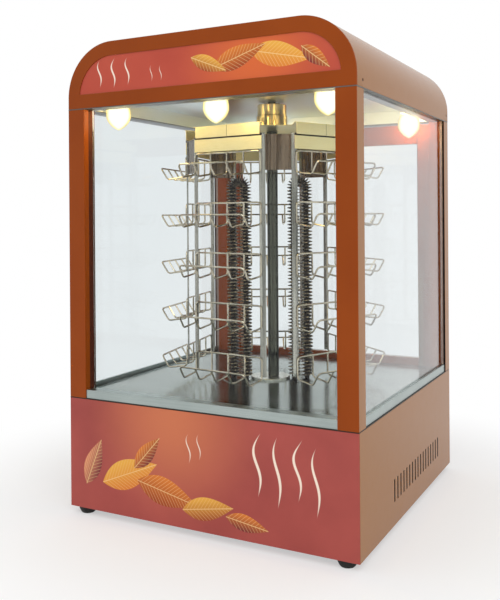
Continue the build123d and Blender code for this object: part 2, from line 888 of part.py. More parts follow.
def indicator_lamps():
    """Pilot lamps: a body through the panel, a bezel on it and a domed lens."""
    bezel = half_depth + sheet
    body = stub(pilot_radius - running_gap, control_sides, half_depth - pilot_depth, half_depth, 0, 0)
    body += stub(pilot_bezel_radius, control_sides, half_depth, bezel, 0, 0)
    lens = frustum(pilot_radius, pilot_lens_radius, control_sides, pilot_dome - sheet)
    lamp = body + Pos(0, bezel, 0) * Rot(-90, 0, 0) * lens
    return group(Pos(x, 0, control_z + pilot_lift) * lamp for x in switch_xs)


def cable_gland():
    """The inlet gland for the mains lead, with its clamping nut."""
    z = base_bottom + gland_lift
    y0, y1 = half_depth - gland_reach, half_depth + gland_reach
    gland = stub(gland_radius - running_gap, gland_sides, y0, y1, gland_x, z)
    gland += stub(gland_nut_radius, nut_sides, half_depth, half_depth + gland_nut_depth, gland_x, z)
    return gland - stub(gland_bore_radius, gland_sides, y0 - overcut, y1 + overcut, gland_x, z)


def terminal_block():
    length, across, height = terminal_block_size
    z0 = base_bottom + 2 * sheet
    y1 = half_depth - terminal_block_inset
    return block(gland_x - length, gland_x, y1 - across, y1, z0, z0 + height)


# Every node, by name

one_basket = basket()
one_heater = heater()

nodes = {
    "bottom_plate": bottom_plate(),
    "base_front_panel": upright_panel(-half_depth, 1),
    "base_left_panel": mirror(side_panel(), Plane.YZ),
    "base_right_panel": side_panel(),
    "base_back_panel": base_back_panel(),
    "rubber_feet": rubber_feet(),
    "base_deck": base_deck(),
    "floor_pan": floor_pan(),
    "front_sill": front_sill(),
    "side_sills": side_sills(),
    "post_front_left": post(-1, -1),
    "post_front_right": post(1, -1),
    "post_rear_left": post(-1, 1),
    "post_rear_right": post(1, 1),
    "front_glass": front_glass(),
    "left_glass": side_glass(-1),
    "right_glass": side_glass(1),
    "top_frame": top_frame(),
    "ceiling_pan": ceiling_pan(),
    "cap_shell": cap_shell(),
    "cap_front_frame": cap_front_frame(),
    "banner_panel": banner_panel(),
    "cap_back_panel": cap_back_panel(),
    "lamp_sockets": lamp_sockets(),
    "lamp_bulbs": lamp_bulbs(),
    "motor_bracket": motor_bracket(),
    "gear_motor": gear_motor(),
    "bearing_housing": bearing_housing(),
    "shaft_bush": shaft_bush(),
    "drive_shaft": drive_shaft(),
    "thrust_collar": thrust_collar(),
    "rack_hub": rack_hub(),
    "hood_pan": hood_pan(),
    "hood_rails": hood_rails(),
    "corner_plates": corner_plates(),
    "rack_uprights": rack_uprights(),
    "heater_base": heater_base(),
    "heater_nuts": heater_nuts(),
    "door_frame": door_frame(),
    "door_glass": door_glass(),
    "door_handle": door_handle(),
    "hinge_post_leaves": hinge_leaves(1),
    "hinge_door_leaves": hinge_leaves(-1),
    "hinge_pins": hinge_pins(),
    "thermostat_body": thermostat_body(),
    "thermostat_knob": thermostat_knob(),
    "switch_housings": switch_housings(),
    "power_rocker": rocker(switch_xs[0]),
    "light_rocker": rocker(switch_xs[1]),
    "indicator_lamps": indicator_lamps(),
    "cable_gland": cable_gland(),
    "terminal_block": terminal_block(),
}
for number, place in enumerate(heater_places(), start=1):
    nodes[f"heater_{number}"] = place * one_heater
for number, bottom in enumerate(basket_bottoms, start=1):
    nodes[f"basket_tier_{number}"] = basket_tier(bottom, one_basket)

os.makedirs("parts", exist_ok=True)
for name, shape in nodes.items():
    export_step(Pos(0, -rear_reach / 2, 0) * shape, f"parts/{name}.step")
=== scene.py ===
# %% [markdown]
# # A sweet potato roaster, dressed in Blender
# The roaster is a counter-top cabinet: a printed base, a glass house on four copper-coloured posts,
# an arched cap with lamps, and a turning rack of wire baskets round a column and two finned heaters.
# Its construction arrives as a fixed frame in metres. This lesson gives each piece its real edges,
# its fine parts and its finish, and never moves or resizes what the frame holds.

# %% Load the frame
import json
import math

import bmesh
import bpy
from mathutils import Matrix, Vector


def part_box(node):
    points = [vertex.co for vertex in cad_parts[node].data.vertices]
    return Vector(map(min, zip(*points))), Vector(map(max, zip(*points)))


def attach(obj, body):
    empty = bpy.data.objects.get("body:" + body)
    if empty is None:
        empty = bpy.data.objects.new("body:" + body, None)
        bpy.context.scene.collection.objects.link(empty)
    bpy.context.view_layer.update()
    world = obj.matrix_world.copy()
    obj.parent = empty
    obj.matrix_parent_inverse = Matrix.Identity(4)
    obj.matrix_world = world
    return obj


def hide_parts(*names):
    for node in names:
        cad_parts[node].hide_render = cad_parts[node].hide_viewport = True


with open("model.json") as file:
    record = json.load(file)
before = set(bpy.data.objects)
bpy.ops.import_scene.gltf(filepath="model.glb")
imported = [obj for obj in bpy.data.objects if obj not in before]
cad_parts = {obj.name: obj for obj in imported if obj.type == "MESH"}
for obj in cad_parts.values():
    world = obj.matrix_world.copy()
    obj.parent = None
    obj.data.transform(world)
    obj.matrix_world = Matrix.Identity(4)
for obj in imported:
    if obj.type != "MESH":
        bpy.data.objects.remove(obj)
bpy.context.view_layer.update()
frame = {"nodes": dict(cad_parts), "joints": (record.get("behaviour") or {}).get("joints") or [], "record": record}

record = frame["record"]
scene = bpy.context.scene
nodes = frame["nodes"]
body_of = {name: body for body, names in record["behaviour"]["bodies"].items() for name in names}
joint_place = {joint["name"]: Vector(joint["pos_m"]) for joint in frame["joints"]}
rack_axis = Vector((*joint_place["rack_spin"].xy, 0.0))

# %% [markdown]
# ## The view
# The photograph was taken a little to the right of the front, with the camera level and its picture
# shifted down, so that upright edges stay side by side. A level camera with a small vertical shift does
# the same, and a lean of less than half a degree follows the photograph's own. Distances in the picture
# are in pixels, and the focal length follows from them.

# %% Camera
image_height = 600
horizon_row = 215.5
focal_pixels = 796.6
camera_place = Vector((0.6838, -1.4121, 0.5331))
camera_level = math.radians(90.0)
camera_lean = math.radians(0.4)
camera_turn = math.radians(27.7)
camera_data = bpy.data.cameras.new("view")
camera_data.sensor_width = 36.0
camera_data.lens = camera_data.sensor_width * focal_pixels / image_height
camera_data.shift_y = (horizon_row - image_height / 2) / image_height
camera = bpy.data.objects.new("view", camera_data)
camera.location = camera_place
camera.rotation_euler = (camera_level, camera_lean, camera_turn)
scene.collection.objects.link(camera)
scene.camera = camera
print("camera: lens", round(camera_data.lens, 1), "shift", round(camera_data.shift_y, 3))

# %% [markdown]
# ## Small helpers for node trees
# A material is a tree of nodes, and short helpers keep the trees readable. The first ones add a node,
# write a sum in node form, mix two colours by a share and stretch a value from one range to another.
# The last ones start a material or a node group, so that each later cell holds only what is special.


# %% Node helpers
def feed(tree, socket, value):
    """Links an output to a socket, or writes a plain value into it."""
    if isinstance(value, bpy.types.NodeSocket):
        tree.links.new(value, socket)
    else:
        socket.default_value = value


def add_node(tree, kind, inputs=None, **settings):
    """A node with its settings, and with its inputs given by name or number."""
    made = tree.nodes.new(kind)
    for key, value in settings.items():
        setattr(made, key, value)
    for name, value in (inputs or {}).items():
        feed(tree, made.inputs[name], value)
    return made


def maths(tree, operation, *values, clamp=False):
    made = add_node(tree, "ShaderNodeMath", dict(enumerate(values)), operation=operation, use_clamp=clamp)
    return made.outputs[0]


def mix_colour(tree, share, first, second):
    """Goes from one colour to another by a share. The node keeps its colours at inputs 6 and 7."""
    made = add_node(tree, "ShaderNodeMix", {0: share, 6: first, 7: second}, data_type="RGBA")
    return made.outputs[2]


def ramp(tree, value, start, end, low=0.0, high=1.0, shape="LINEAR"):
    """Stretches the range from start to end onto the one from low to high."""
    inputs = {"Value": value, "From Min": start, "From Max": end, "To Min": low, "To Max": high}
    return add_node(tree, "ShaderNodeMapRange", inputs, interpolation_type=shape).outputs[0]


def grazing(tree, start, end):
    """0 where a face is square to the view, 1 where it is seen along the surface."""
    facing = add_node(tree, "ShaderNodeLayerWeight", {"Blend": 0.5}).outputs["Facing"]
    return ramp(tree, facing, start, end, shape="SMOOTHSTEP")


def object_place(tree):
    return add_node(tree, "ShaderNodeTexCoord").outputs["Object"]


def any_ray(tree, *kinds):
    """1 for light rays of the named kinds, 0 for all others."""
    path = add_node(tree, "ShaderNodeLightPath").outputs
    share, *others = [path[f"Is {kind} Ray"] for kind in kinds]
    for other in others:
        share = maths(tree, "MAXIMUM", share, other)
    return share


def blend_shaders(tree, share, first, second):
    """Sends a mix of two shaders to the material's output."""
    mixed = add_node(tree, "ShaderNodeMixShader", {0: share, 1: first.outputs[0], 2: second.outputs[0]})
    feed(tree, tree.nodes["Material Output"].inputs["Surface"], mixed.outputs[0])


def colour(red, green, blue):
    """A screen colour, 0 to 255, as the linear values that a shader takes."""
    def linear(level):
        level /= 255
        return level / 12.92 if level <= 0.04045 else ((level + 0.055) / 1.055) ** 2.4
    return (linear(red), linear(green), linear(blue), 1.0)


def new_shader(name, **inputs):
    """A material with its Principled shader set up: plain numbers go on the shader's own sockets."""
    material = bpy.data.materials.new(name)
    material.use_nodes = True
    tree = material.node_tree
    shader = tree.nodes["Principled BSDF"]
    for key, value in inputs.items():
        shader.inputs[key.replace("_", " ")].default_value = value
    return material, tree, shader


def new_group(name, outputs, **inputs):
    """An empty node group. Each input is a number, or a vector where three numbers are given."""
    tree = bpy.data.node_groups.new(name, "ShaderNodeTree")
    for label, start in inputs.items():
        kind = "NodeSocketFloat" if isinstance(start, float) else "NodeSocketVector"
        tree.interface.new_socket(label, in_out="INPUT", socket_type=kind).default_value = start
    for label in outputs:
        tree.interface.new_socket(label, in_out="OUTPUT", socket_type="NodeSocketFloat")
    return tree, tree.nodes.new("NodeGroupInput").outputs, tree.nodes.new("NodeGroupOutput").inputs


def use_group(tree, group, **inputs):
    return add_node(tree, "ShaderNodeGroup", inputs, node_tree=group).outputs


print("helpers ready")

# %% [markdown]
# ## The studio
# The object stands on a plain pale floor in even light. The world lights it at a plain level, and
# shows as white to the camera, to shiny metal and through glass. One wide soft lamp from the front
# right adds a little shape.

# %% Floor, world and lamp
scene.view_settings.view_transform = "Standard"
plain_white = (1.0, 1.0, 1.0, 1.0)
seen_rays = ("Camera", "Transmission", "Glossy")
ambient_level = 0.80
floor_reach = 6.0
floor_tone = 0.93
shadow_reach, white_reach = 0.40, 0.80
least_white = 0.45
lamp_place = Vector((1.3, -1.9, 1.9))
lamp_target = Vector((0.0, 0.0, 0.4))
lamp_size = 1.8
lamp_power = 16.0

floor_material, tree, shader = new_shader(
    "pale_floor", Roughness=0.9, Specular_IOR_Level=0.1, Base_Color=(floor_tone, floor_tone, floor_tone, 1.0)
)
floor_mesh = bpy.data.meshes.new("floor")
bm = bmesh.new()
bmesh.ops.create_grid(bm, x_segments=1, y_segments=1, size=floor_reach)
bm.to_mesh(floor_mesh)
bm.free()
floor_mesh.materials.append(floor_material)
floor = bpy.data.objects.new("floor", floor_mesh)
scene.collection.objects.link(floor)

# The floor keeps the object's shadow near it, and turns plain white for the camera farther out.
white = add_node(tree, "ShaderNodeEmission", {"Color": plain_white, "Strength": 1.0})
from_middle = add_node(tree, "ShaderNodeVectorMath", {0: object_place(tree)}, operation="LENGTH")
fade = ramp(tree, from_middle.outputs["Value"], shadow_reach, white_reach, least_white, 1.0, "SMOOTHSTEP")
blend_shaders(tree, maths(tree, "MULTIPLY", any_ray(tree, *seen_rays), fade), shader, white)

world = bpy.data.worlds.new("studio")
world.use_nodes = True
scene.world = world
tree = world.node_tree
strength = maths(tree, "MULTIPLY_ADD", any_ray(tree, *seen_rays), 1.0 - ambient_level, ambient_level)
feed(tree, tree.nodes["Background"].inputs["Color"], plain_white)
feed(tree, tree.nodes["Background"].inputs["Strength"], strength)

lamp_data = bpy.data.lights.new("soft_lamp", "AREA")
lamp_data.energy = lamp_power
lamp_data.size = lamp_size
lamp = bpy.data.objects.new("soft_lamp", lamp_data)
lamp.location = lamp_place
lamp.rotation_euler = (lamp_target - lamp_place).to_track_quat("-Z", "Y").to_euler()
scene.collection.objects.link(lamp)
print("studio: ambient", ambient_level, "lamp", lamp_power, "W")

# %% [markdown]
# ## Turning a bmesh into a piece
# Every new piece ends the same way: doubles are merged, faces turned outwards, soft faces shaded
# smooth with sharp edges kept, and the object rides on its body, takes its material and hides the CAD
# node that it stands for. Sheet-metal pieces start as a merged copy of the node, whose flat triangles
# are joined and whose edges get the small round that a real fold or cut edge has, because a dead sharp
# edge catches no light.

# %% Piece helpers
weld = 1e-6
flat_limit = math.radians(0.5)
sharp_limit = math.radians(25.0)
smooth_limit = math.radians(35.0)
fold_limit = math.radians(60.0)
made_pieces = []


def to_object(bm, name, material, body, limit=smooth_limit):
    mesh = bpy.data.meshes.new(name)
    bm.to_mesh(mesh)
    bm.free()
    mesh.polygons.foreach_set("use_smooth", [True] * len(mesh.polygons))
    mesh.set_sharp_from_angle(angle=limit)
    mesh.materials.append(material)
    piece = bpy.data.objects.new(name, mesh)
    scene.collection.objects.link(piece)
    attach(piece, body)
    made_pieces.append(piece)
    print("  ", name, len(mesh.polygons), "faces")
    return piece


def clean(bm):
    bmesh.ops.remove_doubles(bm, verts=bm.verts, dist=weld)
    bmesh.ops.recalc_face_normals(bm, faces=bm.faces)


def finish_piece(bm, name, material, *replaced, body=None, slot=None):
    """A newly modelled piece, which stands for the CAD nodes that it names."""
    clean(bm)
    piece = to_object(bm, name, material, body or body_of[replaced[0]])
    if replaced:
        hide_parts(*replaced)


def round_edges(bm, edges, width, segments=2):
    bmesh.ops.bevel(
        bm, geom=edges, offset=width, offset_type="OFFSET", segments=segments, profile=0.5,
        affect="EDGES", material=-1, clamp_overlap=True,
    )


def merged_copy(node):
    """The node's mesh with its loose triangles merged."""
    bm = bmesh.new()
    bm.from_mesh(nodes[node].data)
    bmesh.ops.remove_doubles(bm, verts=bm.verts, dist=weld)
    return bm


def soften(node, material, width, segments=2, cuts=(), others=(), chosen=None, shape=None):
    """A sheet-metal node with real, slightly rounded edges. A shape adds detail. A test gives some faces
    another finish by its number, and cuts split faces where such a finish ends in the middle of one."""
    bm = merged_copy(node)
    bmesh.ops.dissolve_limit(
        bm, angle_limit=flat_limit, use_dissolve_boundaries=False, verts=bm.verts, edges=bm.edges
    )
    sharp = [e for e in bm.edges if len(e.link_faces) == 2 and e.calc_face_angle() > sharp_limit]
    round_edges(bm, sharp, width, segments)
    if shape:
        shape(bm)
    for place, way in cuts:
        everything = bm.verts[:] + bm.edges[:] + bm.faces[:]
        bmesh.ops.bisect_plane(bm, geom=everything, dist=weld, plane_co=place, plane_no=way)
    if chosen:
        bm.normal_update()
        for face in bm.faces:
            face.material_index = int(chosen(face.calc_center_median(), face.normal))
    piece = to_object(bm, node + "_rounded", material, body_of[node], limit=fold_limit)
    for other in others:
        piece.data.materials.append(other)
    piece.modifiers.new("level_faces", "WEIGHTED_NORMAL").keep_sharp = True
    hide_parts(node)


def dress(node, material):
    """Keeps a CAD node and gives it its finish."""
    for slot in nodes[node].material_slots:
        slot.material = material


def separate_boxes(node):
    """The lowest and highest corner of each separate solid in a node."""
    bm = merged_copy(node)
    left = set(bm.verts)
    boxes = []
    while left:
        waiting = [left.pop()]
        places = []
        while waiting:
            vert = waiting.pop()
            places.append(vert.co.copy())
            near = [edge.other_vert(vert) for edge in vert.link_edges]
            waiting += [other for other in near if other in left]
            left.difference_update(near)
        low = Vector(min(p[i] for p in places) for i in range(3))
        high = Vector(max(p[i] for p in places) for i in range(3))
        boxes.append((low, high))
    bm.free()
    return sorted(boxes, key=lambda box: tuple(round(v, 4) for v in box[0]))


print("piece helpers ready")

# %% [markdown]
# ## Turned, barred and bent shapes
# Most fine parts are made as a workshop makes them. A lathe turns a profile about an axis, a bar is a
# block with its edges eased, and a bender pushes a round bar along straight runs with a bend between.

# %% Shape helpers
lathe_aims = {
    "X": Matrix.Rotation(math.pi / 2, 4, "Y"), "Y": Matrix.Rotation(-math.pi / 2, 4, "X"), "Z": Matrix(),
}


def outline(bm, profile):
    """Points given as (radius, distance along the axis), and the edges between them."""
    verts = [bm.verts.new((radius, 0.0, along)) for radius, along in profile]
    return verts + [bm.edges.new(pair) for pair in zip(verts, verts[1:])]


def turned(bm, profile, place, steps, axis="Z"):
    """A profile turned on a lathe."""
    start = len(bm.verts)
    bmesh.ops.spin(
        bm, geom=outline(bm, profile), cent=(0, 0, 0), axis=(0, 0, 1), dvec=(0, 0, 0), angle=math.tau,
        steps=steps, use_merge=True, use_duplicate=False,
    )
    bm.verts.ensure_lookup_table()
    bmesh.ops.transform(bm, matrix=Matrix.Translation(place) @ lathe_aims[axis], verts=bm.verts[start:])


def turned_piece(shapes, name, material, *replaced, steps, axis="Z", **home):
    """A piece made of one or more turned shapes, each given by its profile and its place."""
    bm = bmesh.new()
    for profile, place in shapes:
        turned(bm, profile, place, steps, axis)
    finish_piece(bm, name, material, *replaced, **home)


def turn_each(node, profile_of, name, material, steps):
    """Turns every upright solid of a node from a profile that is worked out from its radius and height."""
    shapes = []
    for low, high in separate_boxes(node):
        middle = (low + high) / 2
        shapes.append((profile_of((high.x - low.x) / 2, high.z - low.z), (middle.x, middle.y, low.z)))
    turned_piece(shapes, name, material, node, steps=steps)


def straight_bar(bm, low, high, width=0.0):
    """A block between two corners, with rounded edges where a width is given."""
    matrix = Matrix.Translation((low + high) / 2) @ Matrix.Diagonal((*(high - low), 1.0))
    made = bmesh.ops.create_cube(bm, size=1.0, matrix=matrix)
    if width:
        round_edges(bm, list({edge for vert in made["verts"] for edge in vert.link_edges}), width)


def only(geometry, kind):
    return [item for item in geometry if isinstance(item, kind)]


def bent_tube(bm, points, radius, bend, sides=8, bend_steps=4, closed=False):
    """A round bar along straight runs with a round bend at each corner. A closed one starts midway."""
    points = [Vector(p) for p in points]
    if closed:
        middle = (points[-1] + points[0]) / 2
        points = [middle, *points, middle]
    ways = [(b - a).normalized() for a, b in zip(points, points[1:])]
    aim = ways[0].to_track_quat("Z", "Y").to_matrix().to_4x4()
    ring = bmesh.ops.create_circle(
        bm, cap_ends=not closed, segments=sides, radius=radius, matrix=Matrix.Translation(points[0]) @ aim
    )["verts"]
    first = ring = list({edge for vert in ring for edge in vert.link_edges})
    here = points[0]

    def run_to(goal):
        nonlocal ring, here
        if (goal - here).length > weld:
            made = bmesh.ops.extrude_edge_only(bm, edges=ring)["geom"]
            bmesh.ops.translate(bm, vec=goal - here, verts=only(made, bmesh.types.BMVert))
            ring = [edge for edge in only(made, bmesh.types.BMEdge) if len(edge.link_faces) == 1]
        here = goal

    for corner, before, after in zip(points[1:], ways, ways[1:]):
        angle = before.angle(after)
        run_to(corner - before * bend * math.tan(angle / 2))
        axis = before.cross(after).normalized()
        made = bmesh.ops.spin(
            bm, geom=ring, cent=here + axis.cross(before) * bend, axis=axis, dvec=(0, 0, 0), angle=angle,
            steps=bend_steps, use_merge=False, use_duplicate=False,
        )["geom_last"]
        ring = only(made, bmesh.types.BMEdge)
        here = corner + after * bend * math.tan(angle / 2)
    if closed:
        run_to(points[-1] - ways[-1] * radius)
        bmesh.ops.bridge_loops(bm, edges=ring + first)
    else:
        run_to(points[-1])
        bmesh.ops.edgeloop_fill(bm, edges=ring)


print("shape helpers ready")

# %% [markdown]
# ## Shared surface effects
# No real surface is perfectly even. Two groups serve many finishes: a soft unevenness for paint,
# rubber and castings, and the fine lines of brushed steel, which run along the sheet. Both read
# Object coordinates, so a pattern stays where it is on the piece.

# %% Unevenness and brushed lines
noise_low, noise_high = 0.3, 0.7
unevenness, given, result = new_group("unevenness", ["Value"], Scale=20.0, Low=0.0, High=1.0)
noise = add_node(unevenness, "ShaderNodeTexNoise", {
    "Vector": object_place(unevenness), "Scale": given["Scale"], "Detail": 4.0, "Roughness": 0.55,
})
spread = ramp(unevenness, noise.outputs["Fac"], noise_low, noise_high, given["Low"], given["High"])
feed(unevenness, result["Value"], spread)

brushed_lines, given, result = new_group("brushed_lines", ["Lines"], Stretch=(4.0, 900.0, 900.0))
drawn_out = add_node(
    brushed_lines, "ShaderNodeVectorMath", {0: object_place(brushed_lines), 1: given["Stretch"]},
    operation="MULTIPLY",
)
noise = add_node(brushed_lines, "ShaderNodeTexNoise", {
    "Vector": drawn_out.outputs[0], "Scale": 1.0, "Detail": 5.0, "Roughness": 0.6,
})
feed(brushed_lines, result["Lines"], noise.outputs["Fac"])


def uneven(tree, scale, low=0.0, high=1.0):
    return use_group(tree, unevenness, Scale=scale, Low=low, High=high)["Value"]


def bump(tree, shader, height, depth):
    """Feeds a height to the shader's normal."""
    made = add_node(tree, "ShaderNodeBump", {"Height": height, "Distance": depth, "Strength": 1.0})
    feed(tree, shader.inputs["Normal"], made.outputs["Normal"])


def surface(tree, shader, tone, gloss=None, grain=None):
    """Sets a shader's colour, a roughness that drifts (scale, low, high) and a bump (scale, depth)."""
    feed(tree, shader.inputs["Base Color"], tone)
    if gloss:
        feed(tree, shader.inputs["Roughness"], uneven(tree, *gloss))
    if grain:
        scale, depth = grain
        bump(tree, shader, uneven(tree, scale), depth)


def clouded(name, dark, pale, scale, gloss=None, grain=None, **inputs):
    """A finish whose colour drifts between two screen colours."""
    material, tree, shader = new_shader(name, **inputs)
    tone = mix_colour(tree, uneven(tree, scale), colour(*dark), colour(*pale))
    surface(tree, shader, tone, gloss, grain)
    return material


print("groups:", unevenness.name, brushed_lines.name)

# %% [markdown]
# ## Copper-coloured paint
# The posts, the cap and the sides carry one glossy metallic paint in burnt copper. Seen square on it
# is deep brown-orange. Seen along the surface the clear coat mirrors the pale surroundings, and the
# Layer Weight node paints a golden beige sheen into the colour there. This is partly the flakes' own golden
# flop and partly a painted reflection of the pale surroundings, so the right side looks beige. A faint
# orange peel breaks up the reflections. The walls of the vent slots get a dark finish as painted
# shade. Behind the side panes' rear edges the posts' returns get a pale grey, painted as the shaded
# return under the pane's pale reflection, and a dark strip painted as the shadow at the edge. A dull
# glazing strip on the front posts holds the front pane, and its dark tone is partly painted shade.

# %% Copper paint
paint, tree, shader = new_shader(
    "copper_paint", Metallic=0.15, Coat_Weight=1.0, Coat_IOR=1.25, Coat_Roughness=0.22, Specular_IOR_Level=0.0
)
tone = mix_colour(tree, uneven(tree, 6.0), colour(138, 59, 4), colour(150, 67, 8))
# Painted sheen: seen along the surface the colour turns golden beige, partly metallic flop and partly a painted
# reflection of the pale surroundings.
tone = mix_colour(tree, grazing(tree, 0.3, 0.65), tone, colour(157, 104, 51))
surface(tree, shader, tone, gloss=(40.0, 0.36, 0.46), grain=(420.0, 0.00004))
sheet_edge = 0.0008
fold_edge = 0.0012
for node, edge in [("cap_front_frame", sheet_edge), ("cap_back_panel", sheet_edge),
                   ("base_back_panel", sheet_edge), ("door_frame", fold_edge)]:
    soften(node, paint, edge)


# %% Vents, joints and painted shade
def shadowed(name, dark, pale):
    return clouded(name, dark, pale, 150.0, Roughness=0.85, Specular_IOR_Level=0.1)


# A dark finish for real joints and seams. It also serves as painted shade in the vent slots, the gaps beside the
# side panes, the screw pockets and under the hood's skirt.
dark_joint_and_shade = shadowed("dark_joint_and_shade", (24, 18, 15), (40, 30, 26))
# A pale grey painted on the rear posts' returns as their shade under the side pane's pale reflection.
veiled_return_grey = shadowed("veiled_return_grey", (150, 128, 120), (164, 142, 134))
# The front posts' glazing strip: its dark brown is partly the strip itself and partly painted shade on the inner
# face.
glazing_and_shade_strip = shadowed("glazing_and_shade_strip", (66, 32, 22), (86, 42, 29))
slot_edge = 0.0003
panel_border = 0.012
square_on, mostly_facing = 0.98, 0.5
pane_inside = 0.2635
pale_grey_end = 0.2708
strip_start = -0.2765


def in_slot(node):
    """A test for the walls of the slots: inside the panel's border, and not its flat faces."""
    low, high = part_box(node)

    def test(centre, normal):
        inside = all(low[i] + panel_border < centre[i] < high[i] - panel_border for i in (1, 2))
        return inside and abs(normal.x) < square_on
    return test


def beside_pane(centre, normal):
    """0 for the paint, 1 for the pale grey painted on the return as its shade under the pane's reflection, 2 for
    the dark strip painted as the shadow at its edge.
    """
    return (normal.y < -mostly_facing) * ((abs(centre.x) > pane_inside) + (abs(centre.x) > pale_grey_end))


# Painted shade: the walls of the vent slots take the dark finish, since the slots are dark inside.
for node in ("base_left_panel", "base_right_panel"):
    soften(node, paint, slot_edge, others=[dark_joint_and_shade], chosen=in_slot(node))
# Painted shade on the rear posts: the return behind a side pane turns pale grey, and its outer strip dark as the
# shadow at the pane's edge.
for node, side in (("post_rear_left", -1), ("post_rear_right", 1)):
    soften(node, paint, fold_edge, cuts=[((side * x, 0, 0), (1, 0, 0)) for x in (pane_inside, pale_grey_end)],
           others=[veiled_return_grey, dark_joint_and_shade], chosen=beside_pane)
# The front posts' inner faces take the dark glazing strip, whose tone is partly painted shade.
for node, inward in (("post_front_left", 1), ("post_front_right", -1)):
    soften(node, paint, fold_edge, cuts=[((0, strip_start, 0), (0, 1, 0))], others=[glazing_and_shade_strip],
           chosen=lambda centre, normal: normal.x * inward > mostly_facing and centre.y > strip_start)
print("painted pieces:", len(made_pieces))

# %% [markdown]
# ## Cap and its screws
# Four small dark screws hold the cap at the lower corners of its sides. Each sits in a shallow round
# pocket, so that it stays inside the sheet. The pocket is cut out of the flat side by planes set round
# the screw, and pushed in with an inset. Its floor and walls take the dark finish, as painted shade in
# the narrow ring round the screw.

# %% Cap and screws
dark_screw = shadowed("dark_screw", (18, 14, 13), (32, 26, 24))
cap_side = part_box("cap_shell")[1].x
screw_places = [(side, y, z) for side in (-1, 1) for y, z in ((-0.262, 0.738), (0.249, 0.738))]
pocket_radius, pocket_depth, pocket_taper = 0.0024, 0.0009, 0.0001
pocket_cuts = 12
screw_radius, screw_sunk = 0.0021, 0.0001
screw_drop, screw_slope = 0.0002, 0.0004
key_radius, key_depth = 0.0009, 0.0005
flat_side, side_slack = 0.99, 0.0001


def face_at(bm, place):
    """The flat side face that holds a place."""
    bm.normal_update()
    flat = [f for f in bm.faces if abs(f.normal.x) > flat_side]
    level = [f for f in flat if abs(f.calc_center_median().x - place.x) < side_slack]
    return next(f for f in level if bmesh.geometry.intersect_face_point(f, place))


def screw_pockets(bm):
    for side, y, z in screw_places:
        middle = Vector((side * cap_side, y, z))
        for cut in range(pocket_cuts):
            turn = math.tau * cut / pocket_cuts
            way = Vector((0.0, math.cos(turn), math.sin(turn)))
            patch = face_at(bm, middle)
            bmesh.ops.bisect_plane(bm, geom=[patch, *patch.edges, *patch.verts], dist=weld,
                                   plane_co=middle + way * pocket_radius, plane_no=way)
        patch = face_at(bm, middle)
        walls = bmesh.ops.inset_individual(bm, faces=[patch], thickness=pocket_taper, depth=-pocket_depth)
        # The pocket's floor and walls get the dark finish: painted shade round the screw.
        for face in [patch, *walls["faces"]]:
            face.material_index = 1


soften("cap_shell", paint, sheet_edge, others=[dark_joint_and_shade], shape=screw_pockets)
foot, top = cap_side - pocket_depth, cap_side - screw_sunk
screw_profile = [
    (0.0, foot), (screw_radius, foot), (screw_radius, top - screw_drop), (screw_radius - screw_slope, top),
    (key_radius, top), (key_radius, top - key_depth), (0.0, top - key_depth),
]
screws = [([(radius, side * along) for radius, along in screw_profile], (0.0, y, z))
          for side, y, z in screw_places]
turned_piece(screws, "cap_screws", dark_screw, steps=18, axis="X", body="cabinet", slot="polished_steel")

# %% [markdown]
# ## The printed fronts
# The base front and the banner are printed sheet: a warm rose red that glows orange in places, with a
# plain pattern of leaves and rising steam. The print is worked out from the place on the sheet. One
# group draws a leaf that tapers to both ends, with its veins, and one draws a wisp of steam that
# sways as it climbs, so that each motif is only a few numbers.


# %% Leaf group
def sums_in(tree):
    """Sums for one tree, so that the tree isn't named in each of them."""
    def calc(operation, *values, clamp=False):
        return maths(tree, operation, *values, clamp=clamp)
    return calc


def place_on_sheet(tree):
    return add_node(tree, "ShaderNodeSeparateXYZ", {"Vector": object_place(tree)}).outputs


leaf_edge, rib_width, vein_width, vein_spacing = 0.0009, 0.0009, 0.0007, 0.0035
vein_strength, vein_slant, tip_lean = 0.6, 0.9, -0.35
leaf, given, result = new_group(
    "leaf", ["Mask", "Veins", "Side"], Across=0.0, Up=0.0, Turn=0.0, Length=0.06, Width=0.024
)
calc = sums_in(leaf)
place = place_on_sheet(leaf)
right = calc("SUBTRACT", place["X"], given["Across"])
above = calc("SUBTRACT", place["Z"], given["Up"])
cosine = calc("COSINE", given["Turn"])
sine = calc("SINE", given["Turn"])
along = calc("ADD", calc("MULTIPLY", right, cosine), calc("MULTIPLY", above, sine))
aside = calc("SUBTRACT", calc("MULTIPLY", above, cosine), calc("MULTIPLY", right, sine))
share = calc("DIVIDE", along, calc("MULTIPLY", given["Length"], 0.5))
taper = calc("SUBTRACT", 1.0, calc("MULTIPLY", share, share), clamp=True)
lean = calc("MULTIPLY_ADD", share, tip_lean, 1.0)
limit = calc("MULTIPLY", calc("MULTIPLY", taper, lean), calc("MULTIPLY", given["Width"], 0.5))
distance = calc("ABSOLUTE", aside)
mask = calc("DIVIDE", calc("SUBTRACT", limit, distance), leaf_edge, clamp=True)
rib = calc("SUBTRACT", 1.0, calc("DIVIDE", distance, rib_width), clamp=True)
comb = calc("PINGPONG", calc("SUBTRACT", along, calc("MULTIPLY", distance, vein_slant)), vein_spacing)
vein = calc("SUBTRACT", 1.0, calc("DIVIDE", comb, vein_width), clamp=True)
veins = calc("MAXIMUM", rib, calc("MULTIPLY", vein, vein_strength))
feed(leaf, result["Mask"], mask)
feed(leaf, result["Veins"], calc("MULTIPLY", veins, mask))
feed(leaf, result["Side"], calc("ADD", calc("DIVIDE", aside, given["Width"]), 0.5, clamp=True))
print("group:", leaf.name)

